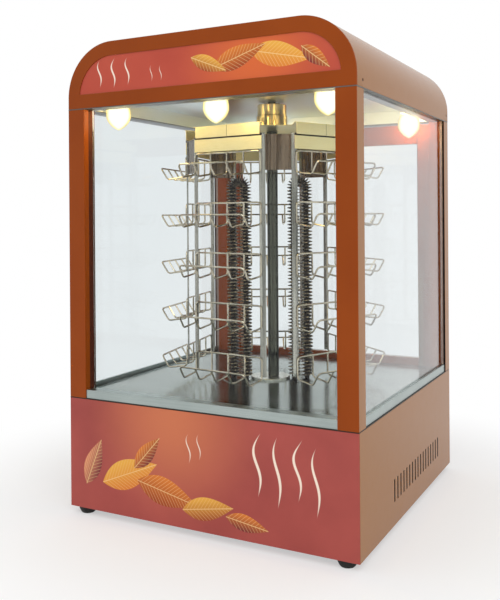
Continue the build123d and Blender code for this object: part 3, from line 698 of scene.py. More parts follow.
# %% Steam group
steam_edge = 0.0012
foot_sway, sway_growth = 0.3, 0.7
steam, given, result = new_group(
    "steam", ["Mask"], Across=0.0, Foot=0.0, Height=0.09, Sway=0.008, Waves=2.0, Width=0.006
)
calc = sums_in(steam)
place = place_on_sheet(steam)
climb = calc("DIVIDE", calc("SUBTRACT", place["Z"], given["Foot"]), given["Height"])
swing = calc("SINE", calc("MULTIPLY", calc("MULTIPLY", climb, given["Waves"]), math.pi))
grown = calc("MULTIPLY", given["Sway"], calc("MULTIPLY_ADD", climb, sway_growth, foot_sway))
middle = calc("MULTIPLY_ADD", swing, grown, given["Across"])
belly = calc("MULTIPLY", climb, calc("SUBTRACT", 1.0, climb))
room = calc("MULTIPLY", calc("MULTIPLY", belly, 2.0, clamp=True), given["Width"])
gap = calc("SUBTRACT", room, calc("ABSOLUTE", calc("SUBTRACT", place["X"], middle)))
feed(steam, result["Mask"], calc("DIVIDE", gap, steam_edge, clamp=True))
print("group:", steam.name)

# %% Printed sheets
vein_tone, steam_tone = colour(248, 214, 150), colour(250, 232, 214)
darkest_share = 0.7


def printed(name, ground, glow, dark, glow_place, glow_reach, leaves, wisps):
    """A glossy print: a glowing ground, then leaves, then steam."""
    material, tree, shader = new_shader(
        name, Coat_Weight=1.0, Coat_IOR=1.3, Coat_Roughness=0.12, Specular_IOR_Level=0.0
    )
    tone = mix_colour(tree, maths(tree, "MULTIPLY", uneven(tree, 7.0), darkest_share), ground, dark)
    ends = {0: object_place(tree), 1: glow_place}
    away = add_node(tree, "ShaderNodeVectorMath", ends, operation="DISTANCE").outputs["Value"]
    tone = mix_colour(tree, ramp(tree, away, 0.0, glow_reach, 1.0, 0.0, "SMOOTHSTEP"), tone, glow)
    for across, up, turn, length, width, pale, deep in leaves:
        drawn = use_group(
            tree, leaf, Across=across, Up=up, Turn=math.radians(turn), Length=length, Width=width
        )
        blade = mix_colour(tree, drawn["Side"], deep, pale)
        blade = mix_colour(tree, drawn["Veins"], blade, vein_tone)
        tone = mix_colour(tree, drawn["Mask"], tone, blade)
    for across, foot, height, sway, waves, width in wisps:
        drawn = use_group(
            tree, steam, Across=across, Foot=foot, Height=height, Sway=sway, Waves=waves, Width=width
        )
        tone = mix_colour(tree, drawn["Mask"], tone, steam_tone)
    surface(tree, shader, tone, gloss=(60.0, 0.38, 0.48), grain=(420.0, 0.00003))
    return material


golden, amber, peach = colour(238, 178, 74), colour(222, 128, 52), colour(226, 150, 110)
rust, plum = colour(160, 70, 38), colour(120, 46, 52)
# Leaves: across, up, turn in degrees, length, width, pale and deep side
base_leaves = [
    (-0.145, 0.088, 22, 0.125, 0.050, golden, amber), (-0.068, 0.066, -12, 0.125, 0.048, amber, rust),
    (-0.222, 0.098, 68, 0.090, 0.036, peach, plum), (0.012, 0.052, 10, 0.100, 0.038, golden, rust),
    (-0.108, 0.128, 48, 0.080, 0.030, amber, plum), (0.085, 0.040, -8, 0.080, 0.028, amber, plum),
]
banner_leaves = [
    (0.148, 0.785, -12, 0.110, 0.040, golden, amber), (0.074, 0.789, 18, 0.105, 0.036, amber, rust),
    (0.208, 0.776, -38, 0.062, 0.024, amber, plum), (0.018, 0.782, -22, 0.074, 0.026, golden, rust),
]
# Wisps: across, foot, height, sway, waves, width
base_wisps = [
    (0.105, 0.085, 0.105, 0.010, 2.2, 0.0062), (0.140, 0.072, 0.115, 0.009, 2.0, 0.0060),
    (0.175, 0.088, 0.100, 0.010, 2.3, 0.0058), (0.206, 0.068, 0.110, 0.009, 2.0, 0.0056),
    (-0.024, 0.120, 0.052, 0.006, 2.0, 0.0034), (-0.004, 0.128, 0.046, 0.005, 2.0, 0.0030),
]
banner_wisps = [
    (-0.205, 0.760, 0.050, 0.006, 2.0, 0.0042), (-0.175, 0.757, 0.055, 0.006, 2.2, 0.0046),
    (-0.145, 0.760, 0.050, 0.006, 2.0, 0.0042), (-0.095, 0.762, 0.030, 0.003, 2.0, 0.0024),
    (-0.076, 0.762, 0.028, 0.003, 2.0, 0.0024),
]
base_print = printed(
    "base_print", colour(178, 84, 76), colour(206, 118, 82), colour(150, 66, 62),
    glow_place=(-0.06, -0.289, 0.190), glow_reach=0.19, leaves=base_leaves, wisps=base_wisps,
)
banner_print = printed(
    "banner_print", colour(194, 84, 64), colour(216, 104, 54), colour(176, 68, 52),
    glow_place=(0.10, -0.287, 0.785), glow_reach=0.16, leaves=banner_leaves, wisps=banner_wisps,
)
soften("base_front_panel", base_print, sheet_edge)
soften("banner_panel", banner_print, sheet_edge)
print("print: leaves", len(base_leaves) + len(banner_leaves), "wisps", len(base_wisps) + len(banner_wisps))

# %% [markdown]
# ## Stainless sheet
# The sills, floor, ceiling, hood and uprights are stainless sheet. Brushing leaves fine lines along
# the sheet, which stretch its reflections across. The lines are a noise drawn out along one axis, used
# for the tone, the roughness and a very slight bump. The floor pan is smoother and mirrors what stands
# on it.

# %% Stainless finishes
line_share, cloud_share = 0.75, 0.25
thin_edge = 0.0004


def stainless(name, stretch, dark, pale, low, high, relief, contrast=1.0):
    material, tree, shader = new_shader(name, Metallic=1.0)
    lines = use_group(tree, brushed_lines, Stretch=stretch)["Lines"]
    lines = maths(tree, "MULTIPLY_ADD", lines, contrast, 0.5 - 0.5 * contrast, clamp=True)
    cloud = maths(tree, "MULTIPLY", uneven(tree, 9.0), cloud_share)
    share = maths(tree, "MULTIPLY_ADD", lines, line_share, cloud, clamp=True)
    surface(tree, shader, mix_colour(tree, share, colour(*dark), colour(*pale)))
    feed(tree, shader.inputs["Roughness"], ramp(tree, share, 0.2, 0.8, high, low))
    bump(tree, shader, lines, relief)
    return material


along_x, along_y, along_z = (5.0, 700.0, 700.0), (700.0, 5.0, 700.0), (700.0, 700.0, 5.0)
streaks = (150.0, 150.0, 3.0)
# Each steel: stretch of its lines, dark and pale tone, least and most roughness, relief, contrast
steel = {name: stainless(f"{name}_steel", *values) for name, *values in [
    ("sill", along_x, (140, 150, 148), (188, 198, 194), 0.22, 0.38, 0.00003),
    ("floor", along_x, (132, 140, 134), (156, 164, 157), 0.10, 0.22, 0.000006),
    ("ceiling", along_x, (228, 237, 238), (244, 252, 253), 0.26, 0.36, 0.000002),
    # The hood's cream yellow is painted lamp light: the bulbs' warm glow put into the steel's colour.
    ("hood", along_x, (222, 206, 150), (250, 238, 184), 0.28, 0.45, 0.00003),
    ("upright", streaks, (76, 78, 72), (204, 200, 188), 0.12, 0.26, 0.00002, 3.0),
    ("plate", streaks, (50, 38, 26), (136, 118, 98), 0.16, 0.30, 0.00003, 5.0),
    # The deck's dark brown is partly stained steel and partly painted shade, so that it shows as a dark line.
    ("deck", along_x, (52, 44, 40), (78, 68, 62), 0.35, 0.5, 0.00002),
    ("frame", along_y, (84, 84, 84), (120, 120, 118), 0.3, 0.45, 0.00003),
]}
for node, name in [("front_sill", "sill"), ("side_sills", "sill"), ("floor_pan", "floor"),
                   ("base_deck", "deck"), ("ceiling_pan", "ceiling"), ("corner_plates", "plate"),
                   ("rack_uprights", "upright")]:
    soften(node, steel[name], thin_edge)
# The top frame's dark grey is partly a dark steel and partly painted shade on its underside.
dress("top_frame", steel["frame"])

# %% [markdown]
# ## Hood
# The hood of the rack is a five-sided lid whose skirt laps over five rails, a little off them, so that a
# dark line shows under the skirt. Each side of the skirt has a fine seam in its middle. Both lines are
# narrow strips cut out of the faces and given the dark finish: the seam as a dark joint, the line under
# the skirt as a painted shadow. The hood's cream yellow tone is the bulbs' warm light painted into its
# steel.

# %% Hood
face_count = 5
first_face = math.radians(-96.2)
face_turns = [first_face + math.tau * face / face_count for face in range(face_count)]
across_ways = [Vector((-math.sin(turn), math.cos(turn), 0.0)) for turn in face_turns]
seam_half = 0.00035
lap_shadow = 0.0026
lap_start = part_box("hood_pan")[0].z - lap_shadow


def on_seam(centre, normal):
    return abs(normal.z) < mostly_facing and any(
        abs((centre - rack_axis).dot(way)) < seam_half and abs(normal.dot(way)) < mostly_facing
        for way in across_ways
    )


seams = [(rack_axis + way * side * seam_half, way) for way in across_ways for side in (-1, 1)]
soften("hood_pan", steel["hood"], thin_edge, cuts=seams, others=[dark_joint_and_shade], chosen=on_seam)
# Painted shadow: the strip of rail just under the skirt's edge takes the dark finish.
soften("hood_rails", steel["hood"], thin_edge, cuts=[((0, 0, lap_start), (0, 0, 1))], others=[dark_joint_and_shade],
       chosen=lambda centre, normal: centre.z > lap_start)

# %% [markdown]
# ## Glass
# The panes are clear float glass with a slight cool tint. A glass shader bends what is behind it and
# mirrors what is before it. Lamp light and soft light would be stopped by it, so rays for those pass
# straight through a clear shader instead, as they do through a real pane. The front and left panes get
# a lower index than real glass. They mirror less, so the heaters stay dark and the left side plain.


# %% Panes
def clear_glass(name, index):
    material, tree, shader = new_shader(name, Roughness=0.0, IOR=index, Transmission_Weight=1.0)
    tint = mix_colour(tree, uneven(tree, 3.0), (0.89, 0.915, 0.92, 1.0), (0.87, 0.90, 0.91, 1.0))
    surface(tree, shader, tint)
    clear = add_node(tree, "ShaderNodeBsdfTransparent", {"Color": (0.94, 0.97, 0.96, 1.0)})
    blend_shaders(tree, any_ray(tree, "Shadow", "Diffuse"), shader, clear)
    return material


faint_pane = clear_glass("faint_pane", 1.25)
clear_pane = clear_glass("clear_pane", 1.5)
for node, pane in [("front_glass", faint_pane), ("left_glass", faint_pane), ("right_glass", clear_pane),
                   ("door_glass", clear_pane)]:
    soften(node, pane, thin_edge)

# %% [markdown]
# ## Lamps
# Four egg-shaped bulbs hang in porcelain sockets under the ceiling. Both are turned shapes, so each is a
# profile spun about its own upright axis. The bulbs give warm light, and the hood's warm tone is that
# light painted into its steel as well. A camera can't take in all of that light, so a bulb that it sees,
# straight or in a mirror, glows less and is yellow at the rim.

# %% Porcelain and bulb glass
porcelain = clouded("porcelain", (226, 222, 212), (240, 237, 230), 60.0, Roughness=0.22, Coat_Weight=0.5)
bulb_glow = 26.0
core_shown, rim_shown = (1.3, 1.25, 1.0), (0.6, 0.5, 0.12)
mirror_share = 0.85
bulb_glass, tree, shader = new_shader("bulb_glass", Roughness=0.35, Emission_Strength=bulb_glow)
frost = uneven(tree, 90.0)
surface(tree, shader, mix_colour(tree, frost, colour(200, 180, 124), colour(212, 194, 140)))
glow = mix_colour(tree, frost, (1.0, 0.70, 0.30, 1.0), (1.0, 0.76, 0.36, 1.0))
core, rim = [(*[level / bulb_glow for level in shown], 1.0) for shown in (core_shown, rim_shown)]
shown = mix_colour(tree, grazing(tree, 0.25, 0.75), core, rim)
mirrored = maths(tree, "MULTIPLY", any_ray(tree, "Glossy"), mirror_share)
to_camera = maths(tree, "MAXIMUM", any_ray(tree, "Camera", "Transmission"), mirrored)
feed(tree, shader.inputs["Emission Color"], mix_colour(tree, to_camera, glow, shown))
print("finishes:", porcelain.name, bulb_glass.name)

# %% Sockets and bulbs
socket_bore, socket_lip, skirt_height = 0.0105, 0.002, 0.011
socket_neck_share = 14 / 19
bulb_neck, belly_height = 0.0095, 0.027
belly_steps, shoulder_steps = 12, 8
egg_power = 0.75


def socket_profile(outer, tall):
    neck, lip = outer * socket_neck_share, socket_lip
    return [
        (socket_bore, 0.0), (outer - lip, 0.0), (outer, lip), (outer, skirt_height - lip),
        (neck + lip, skirt_height), (neck, skirt_height + lip), (neck, tall - lip), (neck - lip, tall),
        (0.0, tall),
    ]


def bulb_profile(wide, tall):
    lower = [1 - math.cos(math.pi / 2 * step / belly_steps) for step in range(belly_steps + 1)]
    upper = [math.pi / 2 * step / shoulder_steps for step in range(1, shoulder_steps + 1)]
    below = [(wide * (1 - (1 - share) ** 2) ** egg_power, belly_height * share) for share in lower]
    above = [(bulb_neck + (wide - bulb_neck) * math.cos(turn),
              belly_height + (tall - belly_height) * math.sin(turn)) for turn in upper]
    return below + above


turn_each("lamp_sockets", socket_profile, "lamp_sockets_turned", porcelain, steps=28)
turn_each("lamp_bulbs", bulb_profile, "lamp_bulbs_turned", bulb_glass, steps=28)

# %% [markdown]
# ## Hub and column
# The rack hangs on a polished sleeve below the ceiling, and its column runs down between the heaters
# to a low seat on the floor. Polished steel shows its surroundings as upright streaks, so both need a
# true round. Each is turned in one profile.


# %% Hub and column
def polished(name, dark, pale, low, high):
    return clouded(name, dark, pale, 30.0, gloss=(55.0, low, high), Metallic=1.0)


chrome = polished("polished_steel", (186, 184, 178), (214, 212, 206), 0.05, 0.14)
hub_steel = polished("hub_steel", (176, 150, 106), (206, 182, 138), 0.04, 0.10)
long_streaks = (260.0, 260.0, 2.0)
column_steel = stainless("column_steel", long_streaks, (22, 23, 17), (106, 108, 94), 0.0, 0.06, 0.000002, 4.0)
hub_bore, hub_step, shoulder_height = 0.0072, 0.0015, 0.029
hood_gap = 0.0012
thin_shaft, shaft_edge = 0.007, 0.0006

low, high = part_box("rack_hub")
hub = (high.x - low.x) / 2
upper = hub - hub_step
shoulder = low.z + shoulder_height
hood_under = low.z - hood_gap
hub_profile = [
    (hub_bore, low.z), (upper, low.z), (hub, low.z + hub_step), (hub, shoulder), (upper, shoulder + hub_step),
    (upper, high.z - hub_step), (upper - hub_step, high.z), (hub_bore, high.z), (hub_bore, low.z),
]
turned_piece([(hub_profile, rack_axis)], "rack_hub_turned", hub_steel, "rack_hub", steps=48)

low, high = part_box("drive_shaft")
column = (high.x - low.x) / 2
column_profile = [
    (0.0, low.z), (column - shaft_edge, low.z), (column, low.z + shaft_edge),
    (column, hood_under - shaft_edge), (column - shaft_edge, hood_under), (thin_shaft, hood_under),
    (thin_shaft, high.z - shaft_edge), (thin_shaft - shaft_edge, high.z), (0.0, high.z),
]
turned_piece([(column_profile, rack_axis)], "drive_shaft_turned", column_steel, "drive_shaft", steps=40)
dress("thrust_collar", chrome)

# %% [markdown]
# ## Wire baskets
# Each basket is one bright wire bent to a trough rim, with three cross wires welded in. A wire is a
# circle pushed along straight runs and spun round each bend, which is how a wire bender makes it. One
# basket is modelled, then copied to the five faces of the rack, one piece for each tier.

# %% Basket wires
wire_steel = polished("bright_wire", (172, 162, 142), (214, 204, 184), 0.05, 0.14)
wire_radius = 0.00165
wire_bend = 0.007
face_apothem = 0.1505
tier_count = 5
first_bottom, tier_pitch = 0.2465, 0.0905
back_half, front_half = 0.072, 0.070
bottom_depth, bottom_drop, rim_depth = 0.038, 0.005, 0.052
back_height, rim_height = 0.038, 0.017
inner_shares = (-0.5, 0.0, 0.5)


def cross_points(share):
    """The corners of a wire across the trough, from the back over the bottom to the front rim."""
    back, front = share * back_half, share * front_half
    knee = back + (front - back) * bottom_depth / rim_depth
    return [(back, 0.0, back_height), (back, 0.0, 0.0), (knee, bottom_depth, -bottom_drop),
            (front, rim_depth, rim_height)]


bm = bmesh.new()
bent_tube(bm, cross_points(-1) + cross_points(1)[::-1], wire_radius, wire_bend, closed=True)
for share in inner_shares:
    bent_tube(bm, cross_points(share), wire_radius, wire_bend)
clean(bm)
basket_mesh = bpy.data.meshes.new("one_basket")
bm.to_mesh(basket_mesh)
bm.free()
for tier in range(tier_count):
    out = Matrix.Translation((0.0, face_apothem + wire_radius, first_bottom + tier * tier_pitch))
    bm = bmesh.new()
    for turn in face_turns:
        start = len(bm.verts)
        bm.from_mesh(basket_mesh)
        bm.verts.ensure_lookup_table()
        matrix = Matrix.Translation(rack_axis) @ Matrix.Rotation(turn - math.pi / 2, 4, "Z") @ out
        bmesh.ops.transform(bm, matrix=matrix, verts=bm.verts[start:])
    node = f"basket_tier_{tier + 1}"
    finish_piece(bm, node + "_wires", wire_steel, node)
bpy.data.meshes.remove(basket_mesh)

# %% [markdown]
# ## Finned heaters
# Each heater is a steel tube bent to a hairpin, with a strip wound round it edge on. The strip is a
# long screw: a small tooth shape spun about the tube's line while it climbs one pitch a turn. It is
# wound straight, then the part past the straight leg is bent over with the tube. The steel is dark at
# the tube, partly from heat and partly as painted shade between the fins, and the strip's rim is
# brighter with pale flecks that are painted glints, so the strip remembers where its tips are.

# %% Heater finish
tip_power = 5.0
heater_metal, tree, shader = new_shader("heater_metal", Specular_IOR_Level=0.06)
# Dark at the roots, partly heat-darkened steel and partly painted shade; the pale flecks on the rim are painted
# glints.
burnt_and_shaded = mix_colour(tree, uneven(tree, 26.0), colour(24, 16, 10), colour(46, 33, 22))
painted_glints = ramp(tree, uneven(tree, 280.0), 0.4, 0.95)
rim = mix_colour(tree, painted_glints, colour(46, 33, 21), colour(248, 228, 190))
tip = add_node(tree, "ShaderNodeAttribute", attribute_name="fin_tip").outputs["Fac"]
tone = mix_colour(tree, maths(tree, "POWER", tip, tip_power), burnt_and_shaded, rim)
surface(tree, shader, tone, gloss=(120.0, 0.25, 0.45))
print("finish:", heater_metal.name)

# %% Heaters
low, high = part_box("heater_1")
leg_half = 0.0123
fin_root, fin_reach = 0.0045, 0.012
root_half_thickness, tip_half_thickness = 0.0024, 0.0005
tube_radius = 0.005
fin_pitch = 0.0066
turn_steps = 14
bare_end = 0.0245
bend_crowding = 0.5
fin_start = low.z + bare_end
bend_level = high.z - fin_reach - leg_half


def fin_strip(bm):
    """The wound strip along a whole hairpin, bent over and wound closer where the tube bends."""
    leg = bend_level - fin_start
    arc = math.pi * leg_half
    wound = 2 * leg + arc / bend_crowding
    turns = round(wound / fin_pitch)
    tooth = [(fin_root, -root_half_thickness), (fin_reach, -tip_half_thickness),
             (fin_reach, tip_half_thickness), (fin_root, root_half_thickness)]
    bmesh.ops.spin(
        bm, geom=outline(bm, tooth), cent=(0, 0, 0), axis=(0, 0, 1), dvec=(0, 0, wound / turns / turn_steps),
        angle=math.tau * turns, steps=turns * turn_steps, use_merge=False, use_duplicate=False,
    )
    tip = bm.verts.layers.float.new("fin_tip")
    for vert in bm.verts:
        vert[tip] = float(vert.co.xy.length > (fin_root + fin_reach) / 2)
        past = vert.co.z - leg
        if past <= 0:
            vert.co.z += fin_start
            vert.co.x -= leg_half
            continue
        turn = min(past * bend_crowding, arc) / leg_half
        reach = leg_half - vert.co.x
        rest = max(0.0, past - arc / bend_crowding)
        vert.co = Vector((-reach * math.cos(turn), vert.co.y, bend_level + reach * math.sin(turn) - rest))


low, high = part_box("heater_base")
heater_middle = Vector(((low.x + high.x) / 2, (low.y + high.y) / 2, 0.0))
for node in ("heater_1", "heater_2"):
    low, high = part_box(node)
    away = (low + high) / 2 - heater_middle
    away.z = 0.0
    bm = bmesh.new()
    fin_strip(bm)
    top = bend_level + leg_half
    bent_tube(bm, [(-leg_half, 0, low.z), (-leg_half, 0, top), (leg_half, 0, top), (leg_half, 0, low.z)],
              tube_radius, leg_half, sides=12, bend_steps=8)
    out = Matrix.Translation(heater_middle + away) @ Matrix.Rotation(math.atan2(away.y, away.x), 4, "Z")
    bmesh.ops.transform(bm, matrix=out, verts=bm.verts)
    finish_piece(bm, f"{node}_finned", heater_metal, node)

# %% [markdown]
# ## Heater base
# The heaters stand on a round plate that lies level with the floor, and the column ends just above a
# low bright seat in its middle. Both are turned, and the heaters' bare ends pass through the plate.

# %% Heater base, seat and nuts
seat_steel = stainless("seat_steel", along_x, (196, 196, 186), (224, 224, 214), 0.2, 0.36, 0.00002)
seat, seat_height = 0.038, 0.004
disc_edge = 0.0008
nut_edge = 0.0006
low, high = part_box("heater_base")
disc = (high.x - low.x) / 2
level = high.z - seat_height
disc_profile = [
    (0.0, low.z), (disc - disc_edge, low.z), (disc, low.z + disc_edge), (disc, level - disc_edge),
    (disc - disc_edge, level), (0.0, level),
]
seat_profile = [
    (0.0, level), (seat, level), (seat, high.z - disc_edge), (seat - disc_edge, high.z), (0.0, high.z),
]
turned_piece([(disc_profile, heater_middle)], "heater_base_turned", steel["floor"], "heater_base", steps=72)
turned_piece([(seat_profile, heater_middle)], "column_seat", seat_steel, steps=56,
             body="cabinet", slot="stainless")
soften("heater_nuts", chrome, nut_edge)

# %% [markdown]
# ## Rear door
# The door's pull and hinges are stainless. The pull is a bow with well-rounded edges. A hinge is two
# leaves with a knuckle each round one pin, so the knuckles are turned and the leaves are plates.

# %% Pull and hinges
trim_steel = stainless("trim_steel", along_z, (170, 172, 170), (212, 214, 212), 0.18, 0.32, 0.00002)
pull_edge = 0.0028
knuckle, knuckle_bore, knuckle_edge, knuckle_gap = 0.005, 0.0027, 0.0005, 0.0001
leaf_gap, leaf_rise, plate_edge, web_inset = 0.0058, 0.002, 0.0007, 0.0005
pin, pin_edge = 0.0025, 0.0003
head_height, head_edge, head_slope = 0.002, 0.0004, 0.001
soften("door_handle", trim_steel, pull_edge, segments=4)
hinge_axis = Vector((*joint_place["door_swing"].xy, 0.0))
for node, side in (("hinge_post_leaves", 1), ("hinge_door_leaves", -1)):
    bm = bmesh.new()
    for low, high in separate_boxes(node):
        middle = (low.z + high.z) / 2
        foot, top = (low.z, middle - knuckle_gap) if side > 0 else (middle + knuckle_gap, high.z)
        near, far = hinge_axis.x + side * leaf_gap, high.x if side > 0 else low.x
        straight_bar(bm, Vector((min(near, far), low.y, low.z)),
                     Vector((max(near, far), low.y + leaf_rise, high.z)), plate_edge)
        straight_bar(bm, Vector((min(near, hinge_axis.x), low.y + web_inset, foot)),
                     Vector((max(near, hinge_axis.x), low.y + leaf_rise, top)))
        inner = knuckle - knuckle_edge
        turned(bm, [
            (knuckle_bore, foot), (inner, foot), (knuckle, foot + knuckle_edge),
            (knuckle, top - knuckle_edge), (inner, top), (knuckle_bore, top), (knuckle_bore, foot),
        ], hinge_axis, steps=24)
    finish_piece(bm, node + "_plates", trim_steel, node)


def pin_profile(low, high):
    head = high - head_height
    return [
        (0.0, low), (pin - pin_edge, low), (pin, low + pin_edge), (pin, head), (knuckle - head_edge, head),
        (knuckle, head + head_edge), (knuckle - head_slope, high), (0.0, high),
    ]


pins = [(pin_profile(low.z, high.z), hinge_axis) for low, high in separate_boxes("hinge_pins")]
turned_piece(pins, "hinge_pins_turned", chrome, "hinge_pins", steps=24)

# %% [markdown]
# ## Rubber feet
# Four turned rubber feet narrow downwards. Moulded rubber is matt, with a fine grain.

# %% Feet
rubber = clouded("rubber", (22, 21, 21), (38, 36, 35), 120.0, gloss=(200.0, 0.6, 0.8), grain=(900.0, 0.00005),
                 Specular_IOR_Level=0.35)
sole_share = 13 / 16
hollow_share, hollow_rim_share, hollow_depth = 0.55, 0.6, 0.0015
sole_round, collar_height = 0.002, 0.004


def foot_profile(wide, tall):
    sole = wide * sole_share
    return [
        (0.0, hollow_depth), (sole * hollow_share, hollow_depth), (sole * hollow_rim_share, 0.0),
        (sole - sole_round, 0.0), (sole, sole_round), (wide, tall - collar_height), (wide, tall), (0.0, tall),
    ]


turn_each("rubber_feet", foot_profile, "rubber_feet_turned", rubber, steps=32)

# %% [markdown]
# ## Controls on the rear
# The rear has a thermostat knob, two rocker switches with pilot lamps, and a cable gland. The plastics
# differ in gloss: the knob and housings have a fine grain, and the rockers and lenses are smooth.


# %% Plastics
def plastic(name, dark, pale, low, high, grain, **inputs):
    return clouded(name, dark, pale, 80.0, gloss=(150.0, low, high), grain=(1500.0, grain), **inputs)


black_plastic = plastic("black_plastic", (24, 24, 25), (36, 36, 37), 0.38, 0.52, 0.00003)
rocker_red = plastic("rocker_red", (150, 22, 18), (172, 30, 24), 0.14, 0.22, 0.000005, Coat_Weight=0.4)
lens_red = plastic("pilot_lens", (190, 44, 20), (214, 62, 30), 0.06, 0.12, 0.000005, Coat_Weight=0.6)
white_mark = plastic("white_mark", (226, 226, 222), (238, 238, 234), 0.4, 0.5, 0.00001)
housing_edge, rocker_edge = 0.0006, 0.0007
for node in ("switch_housings", "thermostat_body", "terminal_block"):
    soften(node, black_plastic, housing_edge)
for node in ("power_rocker", "light_rocker"):
    soften(node, rocker_red, rocker_edge, segments=3)

# %% Knob
low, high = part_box("thermostat_knob")
centre = joint_place["knob_turn"]
skirt, grip, spindle = (high.x - low.x) / 2, 0.014, 0.003
panel_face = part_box("base_back_panel")[1].y
knob_gap, spindle_lap = 0.0003, 0.001
base_y = panel_face + knob_gap
skirt_edge, grip_foot, grip_top = 0.0008, 0.005, 0.015
flutes, flute_depth, flute_band = 18, 0.0006, 0.002
bar_half, bar_sunk, bar_inset, bar_edge = 0.003, 0.0005, 0.001, 0.0009
pointer_half, pointer_depth, pointer_start, pointer_inset = 0.0008, 0.0004, 0.003, 0.002
# The knob's profile: radius, then height above its foot
knob_profile = [
    (0.0, 0.0), (skirt - skirt_edge, 0.0), (skirt, skirt_edge), (skirt, 0.0028), (skirt - 0.0015, 0.004),
    (grip + 0.001, 0.0046), (grip, 0.0056), (grip - 0.0006, 0.0135), (grip - 0.0016, grip_top), (0.0, grip_top),
]
bm = bmesh.new()
turned(bm, knob_profile, (centre.x, base_y, centre.z), steps=4 * flutes, axis="Y")
for vert in bm.verts:
    away = vert.co - Vector((centre.x, vert.co.y, centre.z))
    if vert.co.y > base_y + grip_foot and away.length > grip - flute_band:
        turn = math.atan2(away.z, away.x) * flutes
        vert.co -= away.normalized() * flute_depth * (0.5 + 0.5 * math.cos(turn))
spindle_end = base_y + spindle_lap
turned(bm, [(0.0, low.y), (spindle, low.y), (spindle, spindle_end), (0.0, spindle_end)],
       (centre.x, 0.0, centre.z), steps=16, axis="Y")
bar_end = grip - bar_inset
straight_bar(bm, Vector((centre.x - bar_half, base_y + grip_top - bar_sunk, centre.z - bar_end)),
             Vector((centre.x + bar_half, high.y, centre.z + bar_end)), bar_edge)
finish_piece(bm, "thermostat_knob_turned", black_plastic, "thermostat_knob")
bm = bmesh.new()
straight_bar(bm, Vector((centre.x - pointer_half, high.y - pointer_depth, centre.z + pointer_start)),
             Vector((centre.x + pointer_half, high.y, centre.z + grip - pointer_inset)))
finish_piece(bm, "knob_pointer", white_mark, body="knob", slot="black_plastic")

# %% Dial marks
marks, long_every, dial_span = 10, 3, 270
long_mark, short_mark, mark_width, mark_thickness = 0.005, 0.003, 0.0012, 0.0002
mark_offset = 0.0045
mark_reach = skirt + mark_offset
dial = Matrix.Translation((centre.x, panel_face, centre.z))
bm = bmesh.new()
for index in range(marks):
    turn = math.radians(90 + dial_span / 2 - dial_span * index / (marks - 1))
    size = (short_mark if index % long_every else long_mark, mark_thickness, mark_width, 1.0)
    out = Matrix.Rotation(-turn, 4, "Y") @ Matrix.Translation((mark_reach, 0.0, 0.0))
    bmesh.ops.create_cube(bm, size=1.0, matrix=dial @ out @ Matrix.Diagonal(size))
finish_piece(bm, "dial_marks", white_mark, body="cabinet", slot="black_plastic")

# %% Pilot lamps
lens, bezel_bore, bezel_slope = 0.0048, 0.005, 0.0056
bezel_height, bezel_round, bezel_edge = 0.0015, 0.0006, 0.0002
dome_steps = 6
face = panel_face + bezel_height
lenses, bezels = [], []
for low, high in separate_boxes("indicator_lamps"):
    place = ((low.x + high.x) / 2, 0.0, (low.z + high.z) / 2)
    bezel = (high.x - low.x) / 2
    arc = [math.pi / 2 * step / dome_steps for step in range(dome_steps + 1)]
    dome = [(lens * math.cos(turn), face + (high.y - face) * math.sin(turn)) for turn in arc]
    lenses.append(([(0.0, low.y), (lens, low.y), (lens, face), *dome], place))
    bezels.append(([
        (bezel_bore, panel_face), (bezel, panel_face), (bezel, face - 2 * bezel_edge),
        (bezel - bezel_round, face + bezel_edge), (bezel_slope, face + bezel_edge),
        (bezel_bore, face - bezel_edge), (bezel_bore, panel_face),
    ], place))
turned_piece(lenses, "indicator_lenses", lens_red, "indicator_lamps", steps=24, axis="Y")
turned_piece(bezels, "indicator_bezels", chrome, steps=28, axis="Y", body="cabinet", slot="polished_steel")

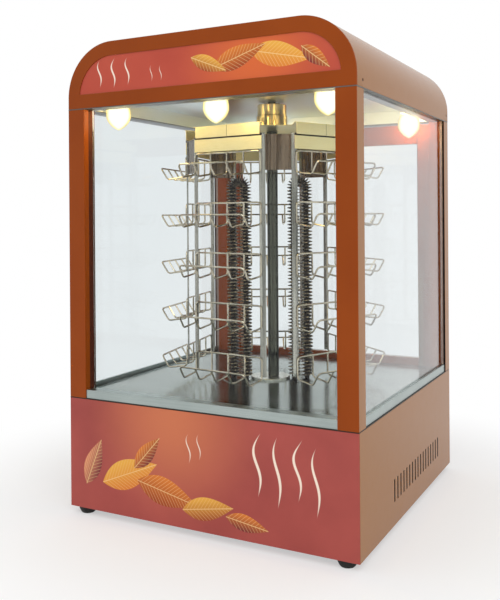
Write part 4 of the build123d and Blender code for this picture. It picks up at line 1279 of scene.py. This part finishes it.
# %% Gland
low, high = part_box("cable_gland")
x, z = (low.x + high.x) / 2, (low.z + high.z) / 2
gland_bore, thread, dome_nut, mouth = 0.004, 0.0078, 0.0094, 0.0066
thread_end, nut_foot, nut_top, mouth_slope = 0.009, 0.0092, 0.012, 0.001
hexagon, hexagon_height, hexagon_gap = 0.012, 0.0078, 0.0001
bm = bmesh.new()
turned(bm, [
    (gland_bore, low.y), (thread, low.y), (thread, panel_face + thread_end), (dome_nut, panel_face + nut_foot),
    (dome_nut, panel_face + nut_top), (thread, high.y - mouth_slope), (mouth, high.y), (gland_bore, high.y),
    (gland_bore, low.y),
], (x, 0.0, z), steps=28, axis="Y")
nut = bmesh.ops.create_circle(bm, cap_ends=True, segments=6, radius=hexagon)["verts"]
pushed = bmesh.ops.extrude_face_region(bm, geom=list({f for v in nut for f in v.link_faces}))["geom"]
pushed = only(pushed, bmesh.types.BMVert)
bmesh.ops.translate(bm, vec=(0.0, 0.0, hexagon_height), verts=pushed)
aim = Matrix.Translation((x, panel_face + hexagon_gap, z)) @ lathe_aims["Y"]
bmesh.ops.transform(bm, matrix=aim, verts=nut + pushed)
finish_piece(bm, "cable_gland_nut", black_plastic, "cable_gland")

# %% [markdown]
# ## Drive in the cap and plates in the base
# The gear motor, its bracket and the bearing sit above the ceiling, and the bottom plate closes the
# base. They are seen only when the cap is off, so they keep their CAD shapes and get their metals:
# cast alloy, galvanised sheet with its spangle, and bronze.

# %% Hidden metals
galvanised, tree, shader = new_shader("galvanised", Metallic=0.85)
spangle = add_node(tree, "ShaderNodeTexVoronoi", {"Vector": object_place(tree), "Scale": 90.0})
tone = mix_colour(tree, spangle.outputs["Color"], colour(150, 153, 156), colour(186, 190, 193))
surface(tree, shader, tone, gloss=(70.0, 0.35, 0.55))
cast_alloy = polished("cast_alloy", (140, 142, 145), (168, 170, 172), 0.45, 0.62)
bronze = polished("bronze", (150, 110, 56), (180, 136, 76), 0.28, 0.42)
for node, metal in [("bottom_plate", galvanised), ("motor_bracket", galvanised), ("gear_motor", cast_alloy),
                    ("bearing_housing", cast_alloy), ("shaft_bush", bronze)]:
    dress(node, metal)
print("dressed nodes:", sum(not node.hide_render for node in nodes.values()))

# %% [markdown]
# ## Count the pieces
# The new pieces and their triangles are counted and printed.

# %% Pieces and triangles
print("pieces:", len(made_pieces), "triangles:", sum(len(p.data.loop_triangles) for p in made_pieces))
